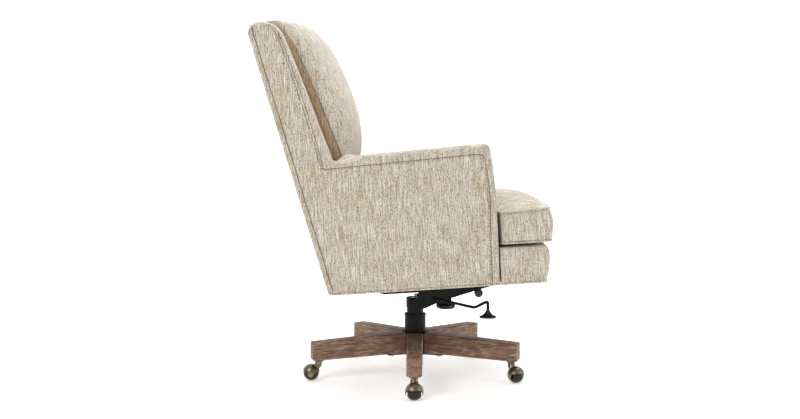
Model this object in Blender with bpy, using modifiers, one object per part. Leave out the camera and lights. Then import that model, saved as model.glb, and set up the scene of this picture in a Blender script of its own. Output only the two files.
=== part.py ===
"""Executive swivel chair: upholstered body on a swivel-tilt mechanism and a five-leg wooden caster base.

Metres, +Z up, floor at z = 0, the sitter faces +X. The upholstered body is drawn square in its own frame
and pitched up at the front by one empty, as it stands on the mechanism.
"""

import math

import bmesh
import bpy
from mathutils import Matrix, Vector

# General fits
GAP = 0.0003            # between pieces that touch
RUNNING = 0.0003        # radial clearance of a shaft in its hole
SWIVEL_X = 0.0          # the swivel axis stands on the origin

# Wooden base
LEG_COUNT = 5
FIRST_LEG_ANGLE = -91.4 # degrees about +Z; it points to the sitter's right
LEG_END_RADIUS = 0.330  # swivel axis to the leg's end face
LEG_ROOT_RADIUS = 0.0352
LEG_END_WIDTH = 0.044
LEG_ROOT_WIDTH = 0.050
LEG_ROOT_BOTTOM = 0.070
LEG_ROOT_TOP = 0.135
LEG_END_BOTTOM = 0.0643
LEG_END_TOP = 0.1180
LEG_EDGE_ROUND = 0.004
LEG_ROOT_SEAT = 0.100   # radius to which the underside stays level on the hub's star plate
LEG_END_SEAT = 0.285    # radius from which the underside is level again over the caster

# Steel hub
HUB_RADIUS = 0.0335
HUB_TOP = 0.1930
STAR_THICKNESS = 0.004
STAR_ARM_RADIUS = 0.094
STAR_ARM_WIDTH = 0.030
STAR_DISC_RADIUS = 0.050
LEG_BOLT_RADIUS = 0.004
LEG_BOLT_PLACE = 0.078  # swivel axis to each leg bolt
LEG_BOLT_LENGTH = 0.036
LEG_BOLT_HEAD_RADIUS = 0.0075
LEG_BOLT_HEAD_HEIGHT = 0.005

# Gas column
OUTER_TUBE_RADIUS = 0.025
OUTER_TUBE_WALL = 0.0015
OUTER_TUBE_BOTTOM = 0.058
OUTER_TUBE_FLOOR = 0.004
CYLINDER_RADIUS = 0.014
CYLINDER_WALL = 0.0025
CYLINDER_BOTTOM = 0.078
CYLINDER_TOP = 0.2415
CYLINDER_CAP = 0.006
PISTON_ROD_RADIUS = 0.005
PISTON_TOP = 0.226
PISTON_HEIGHT = 0.010
PISTON_COLLAR = 0.004   # how far the rod's collar on the thrust bearing stands out
BUSH_BOTTOM = 0.150
THRUST_BEARING_RADIUS = 0.0125
THRUST_BEARING_HEIGHT = 0.005
RELEASE_PIN_RADIUS = 0.003
RELEASE_PIN_TOP = 0.2490
RELEASE_PIN_LENGTH = 0.013

# Casters: a hooded ball on a plain stem
WHEEL_RADIUS = 0.024
WHEEL_HALF_WIDTH = 0.0195
CASTER_TRAIL = 0.024    # stem axis to wheel axle
CASTER_RADIUS = 0.307   # swivel axis to the stem
AXLE_RADIUS = 0.003
HOOD_CLEARANCE = 0.0009
HOOD_WALL = 0.0014
HOOD_EAR = AXLE_RADIUS + 0.0045     # half width of the ears that hold the axle
HOOD_CUT = 0.05         # reach of the cut that opens the hood below
NECK_RADIUS = 0.0145
NECK_HEIGHT = 0.0105
STEM_RADIUS = 0.0055
STEM_IN_HOOD = 0.008
STEM_IN_LEG = 0.036
# The way each caster trails at rest, in degrees about +Z
CASTER_TRAIL_ANGLES = (-90.0, -60.0, 75.0, 150.0, 180.0)

# Swivel-tilt mechanism
RECEIVER_RADIUS = 0.0273
RECEIVER_RING_RADIUS = 0.0257
RECEIVER_BOTTOM = 0.1955
RECEIVER_RING_TOP = 0.2110
RECEIVER_TOP = 0.2420
HOUSING_HALF_WIDTH = 0.030
HOUSING_WALL = 0.005
HOUSING_FRONT = 0.112
HOUSING_FLOOR = 0.2250
HOUSING_FLOOR_THICKNESS = 0.0055
HOUSING_REAR = -0.016
HOUSING_KEEL = 0.2105   # lowest point of the channel, in front of the column
HOUSING_TOP = 0.2830
TILT_AXIS_X = 0.045
TILT_AXIS_Z = 0.2700
TILT_AXLE_RADIUS = 0.007
PLATE_HALF_WIDTH = 0.100
PLATE_THICKNESS = 0.004
PLATE_REAR = -0.116
PLATE_FRONT = 0.224
FLANGE_REAR_DEPTH = 0.0360
FLANGE_FRONT_DEPTH = 0.0380
# Lower edge of the plate's flanges in x and z, deepest round the tilt axle
FLANGE_EDGE = [(-0.094, 0.2645), (0.018, 0.2712), (0.029, 0.2565), (0.112, 0.2545), (0.173, 0.2735)]
KNOB_X = 0.0960
KNOB_RADIUS = 0.030
KNOB_BOTTOM = 0.2063
KNOB_TOP = 0.2243
KNOB_CAP = 0.0055       # plastic left under the screw's end in a knob
TENSION_BOLT_RADIUS = 0.005
TENSION_BOLT_TOP = 0.2720
TENSION_HEAD_RADIUS = 0.0100
TENSION_HEAD_HEIGHT = 0.005
SPRING_WIRE_RADIUS = 0.0016
SPRING_RADIUS = 0.0085
SPRING_TURNS = 5
LEVER_AXIS_X = 0.055
LEVER_AXIS_Z = 0.2440
LEVER_ROD_RADIUS = 0.0034
LEVER_FINGER_HALF_WIDTH = 0.004
LEVER_CREST = 0.2600    # top of the rod's last bend
# The rod's bends on its way out to the paddle
LEVER_BENDS = ((0.0650, -0.0500, 0.2430), (0.1670, -0.1880, 0.2396), (0.1740, -0.1960, 0.2415),
               (0.2030, -0.2190, LEVER_CREST), (0.2068, -0.2236, LEVER_CREST))
PADDLE_PLACE = (0.2070, -0.2240, 0.2365)    # middle of the paddle's top
PADDLE_RADIUS = 0.0252
PADDLE_WIDTH = 0.72     # its width across the chair as a share of its length
PADDLE_DROP = 0.0175    # from its top to its widest part
LOCK_X = 0.1800
LOCK_Z = 0.2870
LOCK_ROD_RADIUS = 0.004
LOCK_KNOB_RADIUS = 0.0122
LOCK_KNOB_Y = -0.208
LOCK_KNOB_LENGTH = 0.024

# Upholstered body, in its own square frame
SEAT_PITCH = math.radians(3.6)
BODY_HALF_WIDTH = 0.345
ARM_WIDTH = 0.075
BODY_BOTTOM = 0.3122
ARM_TOP_REAR = 0.6925   # height at which the wing's slope is measured
ARM_DIP_Z = 0.6740      # foot of the wing, where the arm's top begins
ARM_DIP_RADIUS = 0.014
ARM_SHOULDER = (-0.108, 0.6939)  # where the arm's top turns level, in x and z
ARM_SHOULDER_RADIUS = 0.080
ARM_TOP_FRONT = 0.7045
ARM_FRONT = 0.2540
ARM_CORNER_RADIUS = 0.020
ARM_FRONT_TUCK = 0.004  # how far the arm's front leans in at its foot, and twice that at its top
ARM_FRONT_BELLY = 0.5600    # height at which it stands furthest forward
BODY_FOOT_RADIUS = 0.014
WING_TOP_RADIUS = 0.018
SIDE_EDGE_ROUND = 0.009
BACK_RAKE = math.radians(13.27)
BACK_FOOT_X = -0.2262   # rear line of the back where it meets the bottom
BACK_CORNER_RADIUS = 0.026   # where the top rolls over into the rear
BACK_SIDE_TOP = 1.0730  # top of the back at its sides
TOP_ARCH = 0.026        # how much higher the middle of the top is
WING_FOOT_X = -0.1955   # wing's front edge where it meets the arm
WING_LEAN = 0.2621      # its slope there, and how fast it curls back further up
WING_CURL = 0.1383
OUTSIDE_BACK_THICKNESS = 0.012
OUTSIDE_BACK_CROWN = 0.006
BACK_FRAME_THICKNESS = 0.026
BACK_DECK_DROP = 0.045  # top of the deck below the top of the back
BACK_CUSHION_HALF_WIDTH = BODY_HALF_WIDTH - ARM_WIDTH - 0.0025
BACK_CUSHION_SWELL_FROM = 0.660
BACK_CUSHION_CROWN = 0.0932
SWELL_FOOT_POWER = 4.3  # how fast the crown grows from its foot
SWELL_TOP_POWER = 20    # how square it stays towards the top
SWELL_SIDE_POWER = 3.0  # and towards its sides
SWELL_SIDE_ROUND = 0.53
SEAM_STANDOFF_TOP = 0.004
SEAM_STANDOFF_FOOT = 0.032
BORDER_STANDOFF = 0.0008    # between the arm fronts and the front border
FRONT_BORDER_FRONT = 0.393
FRONT_BORDER_TOP = 0.4140
FRONT_BOW = 0.014       # how far the middle of the front stands forward of its ends
DECK_REAR = -0.178
DECK_TOP = 0.4255
DECK_THICKNESS = 0.040
SEAT_RAIL_WIDTH = 0.050
SEAT_RAIL_PLACES = (-0.150, -0.075, 0.185)
DUST_COVER_THICKNESS = 0.0015
SEAT_CUSHION_REAR = -0.094
SEAT_CUSHION_FRONT = 0.400
SEAT_CUSHION_WELT_BOTTOM = 0.4262
SEAT_CUSHION_WELT_TOP = 0.5115
SEAT_CUSHION_CROWN = 0.045
SOFT_GAP = 0.0015       # between a cushion and the panels round it

SEGMENTS = 32


def clear_scene():
    for old in list(bpy.data.objects):
        bpy.data.objects.remove(old, do_unlink=True)


def collection(name):
    made = bpy.data.collections.new(name)
    bpy.context.scene.collection.children.link(made)
    return made


def finish(name, colour, roughness, metallic=0.0):
    """A Principled material of one colour (linear RGB)."""
    made = bpy.data.materials.new(name)
    made.use_nodes = True
    shader = made.node_tree.nodes["Principled BSDF"]
    shader.inputs["Base Color"].default_value = (*colour, 1.0)
    shader.inputs["Roughness"].default_value = roughness
    shader.inputs["Metallic"].default_value = metallic
    made.diffuse_color = (*colour, 1.0)
    return made


def empty(name, location, parent=None, pitch=0.0, turn=0.0):
    made = bpy.data.objects.new(name, None)
    made.location = location
    made.rotation_euler = (0.0, -pitch, turn)
    made.parent = parent
    PARTS.objects.link(made)
    return made


def mesh_from(bm, name):
    bmesh.ops.recalc_face_normals(bm, faces=bm.faces)
    if bm.calc_volume(signed=True) < 0:
        bmesh.ops.reverse_faces(bm, faces=bm.faces)
    mesh = bpy.data.meshes.new(name)
    bm.to_mesh(mesh)
    bm.free()
    return mesh


def part(name, mesh, material, parent, smooth_angle=35.0):
    """One solid of the chair, as its own named object."""
    made = bpy.data.objects.new(name, mesh)
    made.parent = parent
    PARTS.objects.link(made)
    mesh.materials.append(material)
    mesh.shade_smooth()
    mesh.set_sharp_from_angle(angle=math.radians(smooth_angle))
    return made


def cutter(name, mesh, parent):
    made = bpy.data.objects.new(name, mesh)
    made.parent = parent
    made.hide_render = True
    made.display_type = "WIRE"
    CUTTERS.objects.link(made)
    return made


def join(target, tool, operation):
    step = target.modifiers.new(operation.title(), "BOOLEAN")
    step.object = tool
    step.operation = operation


def bevel(target, width, segments=3, angle=40.0):
    step = target.modifiers.new("Rounded edges", "BEVEL")
    step.width = width
    step.segments = segments
    step.limit_method = "ANGLE"
    step.angle_limit = math.radians(angle)


def screw(target, steps):
    """Turns the profile in the object's mesh about its own Z axis."""
    step = target.modifiers.new("Turned", "SCREW")
    step.steps = steps
    step.render_steps = steps
    step.use_merge_vertices = True
    step.merge_threshold = 0.00001


def profile_mesh(name, profile, closed):
    """A profile of (radius, height) points at +X, from the top down its outer side."""
    mesh = bpy.data.meshes.new(name)
    edges = [(i, i + 1) for i in range(len(profile) - 1)]
    if closed:
        edges.append((len(profile) - 1, 0))
    mesh.from_pydata([(r, 0.0, z) for r, z in profile], edges, [])
    return mesh


def turned(name, profile, material, parent, closed=False, steps=SEGMENTS):
    made = part(name, profile_mesh(name, profile, closed), material, parent)
    screw(made, steps)
    return made


def turned_cutter(name, profile, parent, closed=False, steps=SEGMENTS):
    made = cutter(name, profile_mesh(name, profile, closed), parent)
    screw(made, steps)
    return made


def rod_mesh(name, radius, start, end, segments=16):
    """A cylinder between two points."""
    start, end = Vector(start), Vector(end)
    bm = bmesh.new()
    bmesh.ops.create_cone(bm, cap_ends=True, segments=segments, radius1=radius, radius2=radius,
                          depth=(end - start).length)
    turn = (end - start).to_track_quat("Z", "Y").to_matrix().to_4x4()
    bm.transform(Matrix.Translation((start + end) / 2) @ turn)
    return mesh_from(bm, name)


def block_mesh(name, low, high):
    low, high = Vector(low), Vector(high)
    bm = bmesh.new()
    bmesh.ops.create_cube(bm, size=1.0)
    bm.transform(Matrix.Translation((low + high) / 2) @ Matrix.Diagonal((*(high - low), 1.0)))
    return mesh_from(bm, name)


def ball_mesh(name, radius, centre, segments=32, rings=20):
    bm = bmesh.new()
    bmesh.ops.create_uvsphere(bm, u_segments=segments, v_segments=rings, radius=radius)
    bm.transform(Matrix.Translation(centre))
    return mesh_from(bm, name)


def prism_mesh(name, outline, low_y, high_y, slices=1):
    """An outline of (x, z) points carried along Y, cut across into slices for a later bend."""
    bm = bmesh.new()
    side = bm.faces.new([bm.verts.new((x, low_y, z)) for x, z in outline])
    moved = [v for v in bmesh.ops.extrude_face_region(bm, geom=[side])["geom"]
             if isinstance(v, bmesh.types.BMVert)]
    bmesh.ops.translate(bm, verts=moved, vec=(0.0, high_y - low_y, 0.0))
    for i in range(1, slices):
        everything = bm.verts[:] + bm.edges[:] + bm.faces[:]
        place = (0.0, low_y + (high_y - low_y) * i / slices, 0.0)
        bmesh.ops.bisect_plane(bm, geom=everything, plane_co=place, plane_no=(0.0, 1.0, 0.0))
    return mesh_from(bm, name)


def arc(centre, radius, start, end, count):
    """Points on a circle in the XZ plane, angles in degrees from +X towards +Z."""
    angles = [math.radians(start + (end - start) * i / count) for i in range(count + 1)]
    return [(centre[0] + radius * math.cos(a), centre[1] + radius * math.sin(a)) for a in angles]


def rounded(outline, radii, count=4):
    """The outline with each corner replaced by an arc of its radius (0 keeps the corner)."""
    points = []
    for i, (corner, radius) in enumerate(zip(outline, radii)):
        here = Vector(corner)
        before = (Vector(outline[i - 1]) - here).normalized()
        after = (Vector(outline[(i + 1) % len(outline)]) - here).normalized()
        if not radius:
            points.append(tuple(here))
            continue
        half = before.angle(after) / 2
        reach = radius / math.tan(half)
        middle = here + (before + after).normalized() * (radius / math.sin(half))
        first = (here + before * reach - middle).normalized()
        last = (here + after * reach - middle).normalized()
        for step in range(count + 1):
            points.append(tuple(middle + radius * first.slerp(last, step / count)))
    return points


def make_leg(i, base, wood):
    """A tapered beam, level over the star plate and over the caster, with a blind hole for the stem."""
    bm = bmesh.new()
    bmesh.ops.create_cube(bm, size=1.0)
    length = LEG_END_RADIUS - LEG_ROOT_RADIUS
    middle = Matrix.Translation((LEG_ROOT_RADIUS + length / 2, 0, 0))
    bm.transform(middle @ Matrix.Diagonal((length, 1, 1, 1)))
    for radius in (LEG_ROOT_SEAT, LEG_END_SEAT):
        everything = bm.verts[:] + bm.edges[:] + bm.faces[:]
        bmesh.ops.bisect_plane(bm, geom=everything, plane_co=(radius, 0, 0), plane_no=(1, 0, 0))
    for vert in bm.verts:
        along = (vert.co.x - LEG_ROOT_RADIUS) / length
        seated = (vert.co.x - LEG_ROOT_SEAT) / (LEG_END_SEAT - LEG_ROOT_SEAT)
        seated = min(max(seated, 0.0), 1.0)
        width = LEG_ROOT_WIDTH + (LEG_END_WIDTH - LEG_ROOT_WIDTH) * along
        vert.co.y = math.copysign(width / 2, vert.co.y)
        if vert.co.z < 0:
            vert.co.z = LEG_ROOT_BOTTOM + (LEG_END_BOTTOM - LEG_ROOT_BOTTOM) * seated
        else:
            vert.co.z = LEG_ROOT_TOP + (LEG_END_TOP - LEG_ROOT_TOP) * along
    leg = part(f"leg_{i + 1}", mesh_from(bm, "leg"), wood, base)
    leg.rotation_euler.z = leg_angle(i)
    bevel(leg, LEG_EDGE_ROUND, segments=2)
    socket = rod_mesh("stem_socket", STEM_RADIUS + RUNNING, (CASTER_RADIUS, 0, LEG_END_BOTTOM - 0.01),
                      (CASTER_RADIUS, 0, LEG_END_BOTTOM + STEM_IN_LEG + 0.001))
    bolt_hole = rod_mesh("bolt_hole", LEG_BOLT_RADIUS + RUNNING, (LEG_BOLT_PLACE, 0, LEG_ROOT_BOTTOM - 0.01),
                         (LEG_BOLT_PLACE, 0, LEG_ROOT_BOTTOM + LEG_BOLT_LENGTH + 0.001), segments=12)
    for name, mesh in (("stem_socket", socket), ("bolt_hole", bolt_hole)):
        tool = cutter(f"{name}_{i + 1}", mesh, base)
        tool.rotation_euler.z = leg_angle(i)
        join(leg, tool, "DIFFERENCE")


def leg_angle(i):
    return math.radians(FIRST_LEG_ANGLE + 360.0 * i / LEG_COUNT)


def make_hub(base, steel):
    """A turned sleeve with a five-armed star plate under the legs, bored for the column's outer tube."""
    star_top = LEG_ROOT_BOTTOM - GAP
    star_bottom = star_top - STAR_THICKNESS
    outer = HUB_RADIUS
    profile = [(0, HUB_TOP), (outer - 0.0015, HUB_TOP), (outer, HUB_TOP - 0.0015), (outer, star_top),
               (STAR_DISC_RADIUS, star_top), (STAR_DISC_RADIUS, star_bottom), (0, star_bottom)]
    hub = turned("base_hub", profile, steel, base, steps=40)
    for i in range(LEG_COUNT):
        half = STAR_ARM_WIDTH / 2
        low = (HUB_RADIUS - 0.01, -half, star_bottom)
        arm = block_mesh("star_arm", low, (STAR_ARM_RADIUS, half, star_top))
        arm = cutter(f"star_arm_{i + 1}", arm, base)
        arm.rotation_euler.z = leg_angle(i)
        join(hub, arm, "UNION")
    for i in range(LEG_COUNT):
        hole = rod_mesh("star_hole", LEG_BOLT_RADIUS + RUNNING, (LEG_BOLT_PLACE, 0, star_bottom - 0.01),
                        (LEG_BOLT_PLACE, 0, star_top + 0.01), segments=12)
        hole = cutter(f"star_hole_{i + 1}", hole, base)
        hole.rotation_euler.z = leg_angle(i)
        join(hub, hole, "DIFFERENCE")
    bore = rod_mesh("hub_bore", OUTER_TUBE_RADIUS + GAP, (0, 0, star_bottom - 0.01),
                    (0, 0, HUB_TOP + 0.01), segments=40)
    join(hub, cutter("hub_bore", bore, base), "DIFFERENCE")


def make_leg_bolts(base, steel):
    head_top = LEG_ROOT_BOTTOM - GAP - STAR_THICKNESS - GAP
    head_bottom = head_top - LEG_BOLT_HEAD_HEIGHT
    for i in range(LEG_COUNT):
        tip = LEG_ROOT_BOTTOM + LEG_BOLT_LENGTH
        shank, head = LEG_BOLT_RADIUS, LEG_BOLT_HEAD_RADIUS
        profile = [(0, tip), (shank, tip), (shank, head_top), (head, head_top), (head, head_bottom),
                   (0, head_bottom)]
        bolt = turned(f"leg_bolt_{i + 1}", profile, steel, base, steps=12)
        angle = leg_angle(i)
        bolt.location = (LEG_BOLT_PLACE * math.cos(angle), LEG_BOLT_PLACE * math.sin(angle), 0)


def make_column(base, swivel, lift, pin_axis, black, bright, nylon):
    """Pressure tube and guide bush in the hub, piston rod on a thrust bearing, and the sliding cylinder."""
    inner = OUTER_TUBE_RADIUS - OUTER_TUBE_WALL
    floor_top = OUTER_TUBE_BOTTOM + OUTER_TUBE_FLOOR
    top = HUB_TOP + 0.0005
    profile = [(inner, top), (OUTER_TUBE_RADIUS, top), (OUTER_TUBE_RADIUS, OUTER_TUBE_BOTTOM),
               (PISTON_ROD_RADIUS, OUTER_TUBE_BOTTOM), (PISTON_ROD_RADIUS, floor_top), (inner, floor_top)]
    turned("outer_tube", profile, black, base, closed=True)
    bush_outer = inner - GAP
    bush_inner = CYLINDER_RADIUS + RUNNING
    profile = [(bush_inner, top), (bush_outer, top), (bush_outer, BUSH_BOTTOM), (bush_inner, BUSH_BOTTOM)]
    turned("guide_bush", profile, nylon, base, closed=True)
    bearing_bottom = floor_top + GAP
    bearing_top = bearing_bottom + THRUST_BEARING_HEIGHT
    hole = PISTON_ROD_RADIUS + GAP
    race = THRUST_BEARING_RADIUS
    profile = [(hole, bearing_top), (race, bearing_top), (race, bearing_bottom), (hole, bearing_bottom)]
    turned("thrust_bearing", profile, bright, swivel, closed=True)
    bore = CYLINDER_RADIUS - CYLINDER_WALL
    piston = bore - GAP
    piston_bottom = PISTON_TOP - PISTON_HEIGHT
    shoulder = bearing_top + GAP
    rod, collar, tail = PISTON_ROD_RADIUS, PISTON_ROD_RADIUS + PISTON_COLLAR, OUTER_TUBE_BOTTOM - 0.001
    profile = [(0, PISTON_TOP), (piston, PISTON_TOP), (piston, piston_bottom), (rod, piston_bottom),
               (rod, shoulder + 0.003), (collar, shoulder + 0.003), (collar, shoulder), (rod, shoulder),
               (rod, floor_top + GAP), (rod - GAP, floor_top), (rod - GAP, tail), (0, tail)]
    turned("piston_rod", profile, bright, swivel, steps=24)
    pin_bore = RELEASE_PIN_RADIUS + RUNNING
    cap_bottom = CYLINDER_TOP - CYLINDER_CAP
    profile = [(pin_bore, CYLINDER_TOP), (CYLINDER_RADIUS - 0.001, CYLINDER_TOP),
               (CYLINDER_RADIUS, CYLINDER_TOP - 0.001), (CYLINDER_RADIUS, CYLINDER_BOTTOM),
               (bore, CYLINDER_BOTTOM), (bore, cap_bottom), (pin_bore, cap_bottom)]
    turned("gas_cylinder", profile, bright, lift, closed=True)
    pin_bottom = RELEASE_PIN_TOP - RELEASE_PIN_LENGTH
    pin = RELEASE_PIN_RADIUS
    profile = [(0, RELEASE_PIN_TOP), (pin - 0.0008, RELEASE_PIN_TOP), (pin, RELEASE_PIN_TOP - 0.0008),
               (pin, pin_bottom), (0, pin_bottom)]
    turned("release_pin", profile, bright, pin_axis, steps=16)


def make_caster(i, base, brass, black, bright):
    """Hooded ball caster: stem, brass hood with two ears, axle and ball, trailing along its own +X."""
    angle = leg_angle(i)
    place = (CASTER_RADIUS * math.cos(angle), CASTER_RADIUS * math.sin(angle), 0)
    swivel = empty(f"caster_swivel_{i + 1}", place, base, turn=math.radians(CASTER_TRAIL_ANGLES[i]))
    centre = (CASTER_TRAIL, 0, WHEEL_RADIUS)
    neck_top = LEG_END_BOTTOM - GAP
    neck_bottom = neck_top - NECK_HEIGHT
    inner = WHEEL_RADIUS + HOOD_CLEARANCE
    outer = inner + HOOD_WALL
    hood = part(f"caster_hood_{i + 1}", ball_mesh("hood", outer, centre, 20, 12), brass, swivel)
    # The neck swells up from the leading side of the dome to a collar under the leg
    foot = WHEEL_RADIUS + 0.007
    profile = [(0, neck_top), (NECK_RADIUS - 0.0015, neck_top), (NECK_RADIUS, neck_top - 0.0015),
               (NECK_RADIUS, neck_bottom), (NECK_RADIUS - 0.003, neck_bottom - 0.003),
               (NECK_RADIUS - 0.005, neck_bottom - 0.012), (NECK_RADIUS - 0.009, foot + 0.001), (0, foot)]
    join(hood, turned_cutter(f"neck_{i + 1}", profile, swivel, steps=16), "UNION")
    # Below this line the hood is open, but for the ears that come down to the axle
    ear = HOOD_EAR
    edge = [(-HOOD_CUT, 0.0040), (-0.0150, 0.0020), (-ear, -0.0040), (-ear * 0.55, -ear), (ear * 0.55, -ear),
            (ear, -0.0040), (0.0130, 0.0035), (0.0220, 0.0090), (HOOD_CUT, 0.0125), (HOOD_CUT, -HOOD_CUT),
            (-HOOD_CUT, -HOOD_CUT)]
    edge = [(centre[0] + x, centre[2] + z) for x, z in edge]
    opening = prism_mesh("hood_opening", edge, -HOOD_CUT, HOOD_CUT)
    opening = cutter(f"hood_opening_{i + 1}", opening, swivel)
    join(hood, opening, "DIFFERENCE")
    hollow = cutter(f"hood_hollow_{i + 1}", ball_mesh("hood_hollow", inner, centre, 16, 10), swivel)
    join(hood, hollow, "DIFFERENCE")
    reach = outer + 0.01
    axle_hole = rod_mesh("axle_hole", AXLE_RADIUS + GAP, (CASTER_TRAIL, -reach, WHEEL_RADIUS),
                         (CASTER_TRAIL, reach, WHEEL_RADIUS), segments=12)
    join(hood, cutter(f"axle_hole_{i + 1}", axle_hole, swivel), "DIFFERENCE")
    stem_bottom = neck_top - STEM_IN_HOOD
    stem_hole = rod_mesh("stem_hole", STEM_RADIUS + GAP, (0, 0, stem_bottom - GAP), (0, 0, neck_top + 0.01))
    join(hood, cutter(f"stem_hole_{i + 1}", stem_hole, swivel), "DIFFERENCE")
    stem_top = LEG_END_BOTTOM + STEM_IN_LEG
    profile = [(0, stem_top), (STEM_RADIUS - 0.0015, stem_top), (STEM_RADIUS, stem_top - 0.0015),
               (STEM_RADIUS, stem_bottom), (0, stem_bottom)]
    turned(f"caster_stem_{i + 1}", profile, bright, swivel, steps=16)
    roll = empty(f"caster_roll_{i + 1}", centre, swivel)
    axle = rod_mesh("caster_axle", AXLE_RADIUS, (CASTER_TRAIL, -outer, WHEEL_RADIUS),
                    (CASTER_TRAIL, outer, WHEEL_RADIUS), segments=12)
    part(f"caster_axle_{i + 1}", axle, bright, swivel)
    # The ball is a sphere cut flat at both ends and turned about the axle
    limit = math.degrees(math.asin(WHEEL_HALF_WIDTH / WHEEL_RADIUS))
    hole = AXLE_RADIUS + RUNNING
    rim = arc((0, 0), WHEEL_RADIUS, limit, -limit, 6)
    profile = [(hole, WHEEL_HALF_WIDTH)] + rim + [(hole, -WHEEL_HALF_WIDTH)]
    wheel = turned(f"caster_wheel_{i + 1}", profile, black, roll, closed=True, steps=20)
    wheel.rotation_euler.x = math.pi / 2


def make_housing(lift, black, bright):
    """Receiver sleeve on the cylinder's top, carrying an open channel forward to the spring box."""
    wide, narrow = RECEIVER_RADIUS, RECEIVER_RING_RADIUS
    sleeve = [(0, RECEIVER_TOP), (wide - 0.001, RECEIVER_TOP), (wide, RECEIVER_TOP - 0.001),
              (wide, RECEIVER_RING_TOP), (narrow, RECEIVER_RING_TOP), (narrow, RECEIVER_BOTTOM),
              (0, RECEIVER_BOTTOM)]
    housing = turned("tilt_housing", sleeve, black, lift, steps=36)
    top = HOUSING_TOP
    heel = RECEIVER_TOP - 0.002
    side = [(HOUSING_REAR, heel), (HOUSING_REAR, 0.222), (0.010, HOUSING_KEEL), (0.030, HOUSING_KEEL),
            (0.062, HOUSING_FLOOR), (HOUSING_FRONT, HOUSING_FLOOR), (HOUSING_FRONT, TENSION_BOLT_TOP - 0.004),
            (0.095, top), (0.034, top), (0.012, RECEIVER_TOP + 0.011), (0.002, heel)]
    half = HOUSING_HALF_WIDTH
    join(housing, cutter("housing_body", prism_mesh("housing_body", side, -half, half), lift), "UNION")
    inner = half - HOUSING_WALL
    rear, front, floor = -0.0095, HOUSING_FRONT - HOUSING_WALL, HOUSING_FLOOR + HOUSING_FLOOR_THICKNESS
    hollow = [(rear, RECEIVER_TOP - 0.0015), (0.030, RECEIVER_TOP - 0.0015), (0.034, floor), (front, floor),
              (front, top + 0.02), (rear, top + 0.02)]
    hollow = prism_mesh("housing_hollow", hollow, -inner, inner)
    join(housing, cutter("housing_hollow", hollow, lift), "DIFFERENCE")
    reach = half + 0.02
    holes = {
        "receiver_bore": ((0, 0, RECEIVER_BOTTOM - 0.01), (0, 0, RECEIVER_TOP + 0.03), CYLINDER_RADIUS + GAP),
        "tilt_axle_hole": ((TILT_AXIS_X, -reach, TILT_AXIS_Z), (TILT_AXIS_X, reach, TILT_AXIS_Z),
                           TILT_AXLE_RADIUS + RUNNING),
        "lever_hole": ((LEVER_AXIS_X, -reach, LEVER_AXIS_Z), (LEVER_AXIS_X, reach, LEVER_AXIS_Z),
                       LEVER_ROD_RADIUS + RUNNING),
        "tension_bolt_hole": ((KNOB_X, 0, HOUSING_FLOOR - 0.02), (KNOB_X, 0, HOUSING_FLOOR + 0.02),
                              TENSION_BOLT_RADIUS + RUNNING),
    }
    for name, (start, end, radius) in holes.items():
        join(housing, cutter(name, rod_mesh(name, radius, start, end, 24), lift), "DIFFERENCE")
    axle = rod_mesh("tilt_axle", TILT_AXLE_RADIUS, (TILT_AXIS_X, -PLATE_HALF_WIDTH - 0.004, TILT_AXIS_Z),
                    (TILT_AXIS_X, PLATE_HALF_WIDTH + 0.004, TILT_AXIS_Z), segments=24)
    part("tilt_axle", axle, bright, lift)


def make_tension(lift, knob_axis, black, bright):
    """Tension screw up through the spring box, its coil spring, and the large knob under the box."""
    floor = HOUSING_FLOOR + HOUSING_FLOOR_THICKNESS
    head = TENSION_BOLT_TOP - TENSION_HEAD_HEIGHT
    rim, shank, tip = TENSION_HEAD_RADIUS, TENSION_BOLT_RADIUS, KNOB_BOTTOM + KNOB_CAP + 0.0005
    profile = [(0, TENSION_BOLT_TOP), (rim - 0.0008, TENSION_BOLT_TOP), (rim, TENSION_BOLT_TOP - 0.001),
               (rim, head), (shank, head), (shank, tip), (0, tip)]
    turned("tension_bolt", profile, bright, knob_axis, steps=24)
    top = KNOB_TOP
    hole = TENSION_BOLT_RADIUS + GAP
    r, bottom = KNOB_RADIUS, KNOB_BOTTOM
    profile = [(hole, top), (r * 0.6, top), (r - 0.004, top - 0.0015), (r, top - 0.006),
               (r - 0.001, top - 0.011), (r - 0.004, bottom + 0.002), (r - 0.009, bottom), (0, bottom),
               (0, bottom + KNOB_CAP), (hole, bottom + KNOB_CAP)]
    turned("tension_knob", profile, black, knob_axis, closed=True, steps=36)
    # An open coil between the box's floor and the screw's head
    low = floor + SPRING_WIRE_RADIUS + GAP
    high = head - SPRING_WIRE_RADIUS - GAP
    count = 8 * SPRING_TURNS
    curve = bpy.data.curves.new("tension_spring", "CURVE")
    curve.dimensions = "3D"
    curve.bevel_depth = SPRING_WIRE_RADIUS
    curve.bevel_resolution = 1
    curve.use_fill_caps = True
    spline = curve.splines.new("POLY")
    spline.points.add(count)
    for i, point in enumerate(spline.points):
        turn = 2 * math.pi * SPRING_TURNS * i / count
        point.co = (KNOB_X + SPRING_RADIUS * math.cos(turn), SPRING_RADIUS * math.sin(turn),
                    low + (high - low) * i / count, 1.0)
    spring = bpy.data.objects.new("tension_spring", curve)
    spring.parent = lift
    PARTS.objects.link(spring)
    curve.materials.append(bright)
    coil_gap = (high - low) / SPRING_TURNS - 2 * SPRING_WIRE_RADIUS
    print(f"tension spring: least gap between turns {coil_gap * 1000:.2f} mm")


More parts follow.
